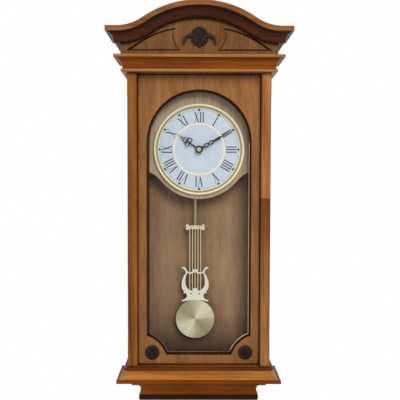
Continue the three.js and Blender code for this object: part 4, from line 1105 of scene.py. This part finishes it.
# For each letter: how far it advances, its strokes as (foot's x, top's x, width), and its serifs as
# (x, whether at the top, width).
LETTERS = {
    "I": (4.5, [(0, 0, THICK)], [(0, False, 3.9), (0, True, 3.9)]),
    "V": (10.4, [(0.2, -3.2, THICK), (0.2, 3.4, THIN)], [(-3.2, True, 4.2), (3.4, True, 3.2)]),
    "X": (9.8, [(3.2, -3.2, THICK), (-3.2, 3.2, THIN)],
          [(-3.2, True, 4.0), (3.2, True, 3.2), (-3.2, False, 3.2), (3.2, False, 4.0)]),
}
NUMERALS = ("I", "II", "III", "IIII", "V", "VI", "VII", "VIII", "IX", "X", "XI", "XII")


def bar(start, end, width):
    """A straight stroke cut level at both ends. It leans by moving its ends sideways."""
    (x0, z0), (x1, z1) = start, end
    half = width / 2
    return [(x0 - half, z0), (x0 + half, z0), (x1 + half, z1), (x1 - half, z1)]


def letter(kind, x):
    _, strokes, serifs = LETTERS[kind]
    shapes = [bar((x + foot, 0), (x + top, NUMERAL_HEIGHT), width) for foot, top, width in strokes]
    for place, upper, width in serifs:
        low = NUMERAL_HEIGHT - SERIF if upper else 0
        shapes.append(bar((x + place, low), (x + place, low + SERIF), width))
    return shapes


def prism(bm, points, low, high):
    front = ring_of(bm, points, high)
    back = ring_of(bm, points, low)
    joined_rings(bm, front, back)
    bm.faces.new(front)
    bm.faces.new(list(reversed(back)))


def dial_print():
    """Roman numerals with their tops outward, a dot at each hour, and the fine minute circles."""
    bm = bmesh.new()
    low, high = DIAL_FRONT + 0.05, DIAL_FRONT - 0.06
    for hour, text in enumerate(NUMERALS, start=1):
        angle = radians(hour * 30)
        out = (sin(angle), cos(angle))
        across = (cos(angle), -sin(angle))
        x = -sum(LETTERS[kind][0] for kind in text) / 2
        for kind in text:
            advance = LETTERS[kind][0]
            for stroke in letter(kind, x + advance / 2):
                turned_stroke = [(across[0] * u + out[0] * (NUMERAL_FOOT + v),
                                  DIAL + across[1] * u + out[1] * (NUMERAL_FOOT + v)) for u, v in stroke]
                prism(bm, turned_stroke, low, high)
            x += advance
        prism(bm, circle(out[0] * DOT_CIRCLE, DIAL + out[1] * DOT_CIRCLE, DOT_RADIUS, 24), low, high)
    finish_piece("dial_numerals", mesh_from("dial_numerals", bm), "case", PRINT_INK)
    bm = bmesh.new()
    for radius in MINUTE_CIRCLES:
        inner, outer = radius - MINUTE_LINE, radius + MINUTE_LINE
        ring = [(inner, low), (inner, high), (outer, high), (outer, low)]
        bm.from_mesh(turned_on_axis("minute_circle", ring, FINE_TURN, closed=True))
    faint = plastic("faint_ink", (96, 106, 118), (116, 124, 136), 0.5)
    finish_piece("minute_circle", mesh_from("minute_circle", bm), "case", faint)


dial_board()
dial_plate()
dial_ring()
dial_bezel()
dial_print()


# ---- hands


def hand_nut():
    radius, front, back, dome = 3.9, -49.3, -46.7, 1.6
    profile = arc(0, front + dome, radius, dome, -90, 0, 12)
    profile += [(radius, back + 0.2), (radius - 0.2, back), (0, back)]
    mesh = turned_on_axis("hand_nut", profile, 48)
    finish_node("hand_nut", mesh, "minute_hand", BRASS)


def hand_collar():
    """The black boss of the minute hand, which shows as a ring around the nut."""
    inner, radius, front, back = 1.4, 6.7, -47.2, -46.72
    profile = [(inner, back), (inner, front), (radius - 0.3, front), (radius, front + 0.2), (radius, back)]
    mesh = turned_on_axis("hand_collar", profile, 48, closed=True)
    finish_piece("hand_collar", mesh, "minute_hand", BLACK_METAL)


for node in ("hour_hand", "minute_hand"):
    softened(node, node, BLACK_METAL, 0.12)
hand_nut()
hand_collar()
softened("mounting_nut", "case", BRASS, 0.25)


# ---- pendulum

PENDULUM_X = -6.5
BOB = 136.9


def pendulum_bob():
    """A flat cup with a slightly crowned face."""
    radius, back, rim, crown, rings = 35.7, -16.6, -17.9, 1.4, 24
    profile = [(0, rim - crown)]
    for ring in range(1, rings + 1):
        part = ring / rings
        profile.append(((radius - 1.0) * part, rim - crown * (1 - part ** 2) - 0.1))
    profile += [(radius - 0.7, rim - 0.35), (radius - 0.3, rim - 0.2), (radius, rim + 0.2)]
    profile += [(radius, back - 0.3), (radius - 0.3, back), (0, back)]
    mesh = turned_on_axis("pendulum_bob", profile, FINE_TURN, (PENDULUM_X, BOB))
    finish_node("pendulum_bob", mesh, "pendulum", spun_material(spot(PENDULUM_X, 0, BOB)), 50)


pendulum_bob()
for node, slot, look in (
    ("lyre_frame", "gilt_metal", PALE_GILT), ("lyre_rod_grid", "gilt_metal", GILT),
    ("pendulum_rod", "gilt_metal", DULL_GILT), ("pendulum_hanger_arm", "black_plastic", BLACK_PLASTIC),
    ("pendulum_magnet", "steel", STEEL),
):
    softened(node, "pendulum", look, 0.2)


# ---- movement and small hardware

for node in ("movement_front_shell", "movement_rear_shell"):
    softened(node, "case", BLACK_PLASTIC, 0.4)
softened("battery_cell", "battery", CELL_WRAP, 0.4, 3)
softened("hanger_plate", "case", STEEL, 0.2)
softened("door_magnet_catch", "case", WHITE_PLASTIC, 0.5)
softened("catch_strike_plate", "door", STEEL, 0.2)
for node, look in (
    ("circuit_board", GREEN_BOARD), ("motor_block", WHITE_PLASTIC), ("pendulum_drive_coil", COPPER),
    ("minute_arbor", STEEL), ("hour_wheel", WHITE_PLASTIC), ("motion_wheel", WHITE_PLASTIC),
    ("set_knob", WHITE_PLASTIC), ("lower_pivot_pin", STEEL), ("upper_pivot_pin", STEEL),
):
    kept(node, look)


# ---- stage and light
# Places and sizes here are in metres.

FLOOR_DROP = 0.35
FLOOR_HALF, FLOOR_FRONT, FLOOR_BACK = 1.3, -1.2, 0.85
SKY_COLOUR = (0.97, 0.985, 1.0, 1)
SKY_ON_SURFACES, SKY_IN_REFLECTIONS = 0.36, 0.85
MIDDLE = (CAD_LOW + CAD_HIGH) / 2


def floor():
    bm = bmesh.new()
    for side, y in ((-1, FLOOR_FRONT), (1, FLOOR_FRONT), (1, FLOOR_BACK), (-1, FLOOR_BACK)):
        bm.verts.new((side * FLOOR_HALF, y, FOOT - FLOOR_DROP))
    bm.faces.new(bm.verts)
    surface = Surface("floor", Roughness=0.9)
    cloud = surface.pattern(3, detail=2)
    surface.feed("Base Color", surface.mix(cloud, srgb(236, 236, 234), srgb(244, 244, 242)))
    mesh = mesh_from("floor", bm)
    mesh.materials.append(surface.material)
    linked("floor", mesh)


def area_light(name, place, size, power):
    """A rectangular light that faces the clock's middle."""
    lamp = bpy.data.lights.new(name, "AREA")
    lamp.shape = "RECTANGLE"
    lamp.size, lamp.size_y = size
    lamp.energy = power
    light = linked(name, lamp)
    light.location = place
    light.rotation_mode = "QUATERNION"
    light.rotation_quaternion = (MIDDLE - Vector(place)).to_track_quat("-Z", "Y")
    return light


def world():
    """White to the camera, and a softer grey for everything that it lights."""
    sky = bpy.data.worlds.new("world")
    sky.use_nodes = True
    bpy.context.scene.world = sky
    tree = sky.node_tree
    tree.nodes.clear()
    rays = add_node(tree, "LightPath").outputs
    strength = add_node(tree, "MapRange", {
        "Value": rays["Is Glossy Ray"], "To Min": SKY_ON_SURFACES, "To Max": SKY_IN_REFLECTIONS})
    lit = add_node(tree, "Background", {"Color": SKY_COLOUR, "Strength": strength.outputs[0]})
    seen = add_node(tree, "Background", {"Color": (1, 1, 1, 1)})
    mixed = add_node(tree, "MixShader", {0: rays["Is Camera Ray"], 1: lit.outputs[0], 2: seen.outputs[0]})
    add_node(tree, "OutputWorld", {"Surface": mixed.outputs[0]})


floor()
world()
key = area_light("key", (0.6, -2.2, 1.0), (1.2, 1.2), 50)
# Its reflection would lie as a white patch on the glass.
key.visible_glossy = False
area_light("side", (-1.6, -0.9, 0.1), (0.5, 1.4), 6)
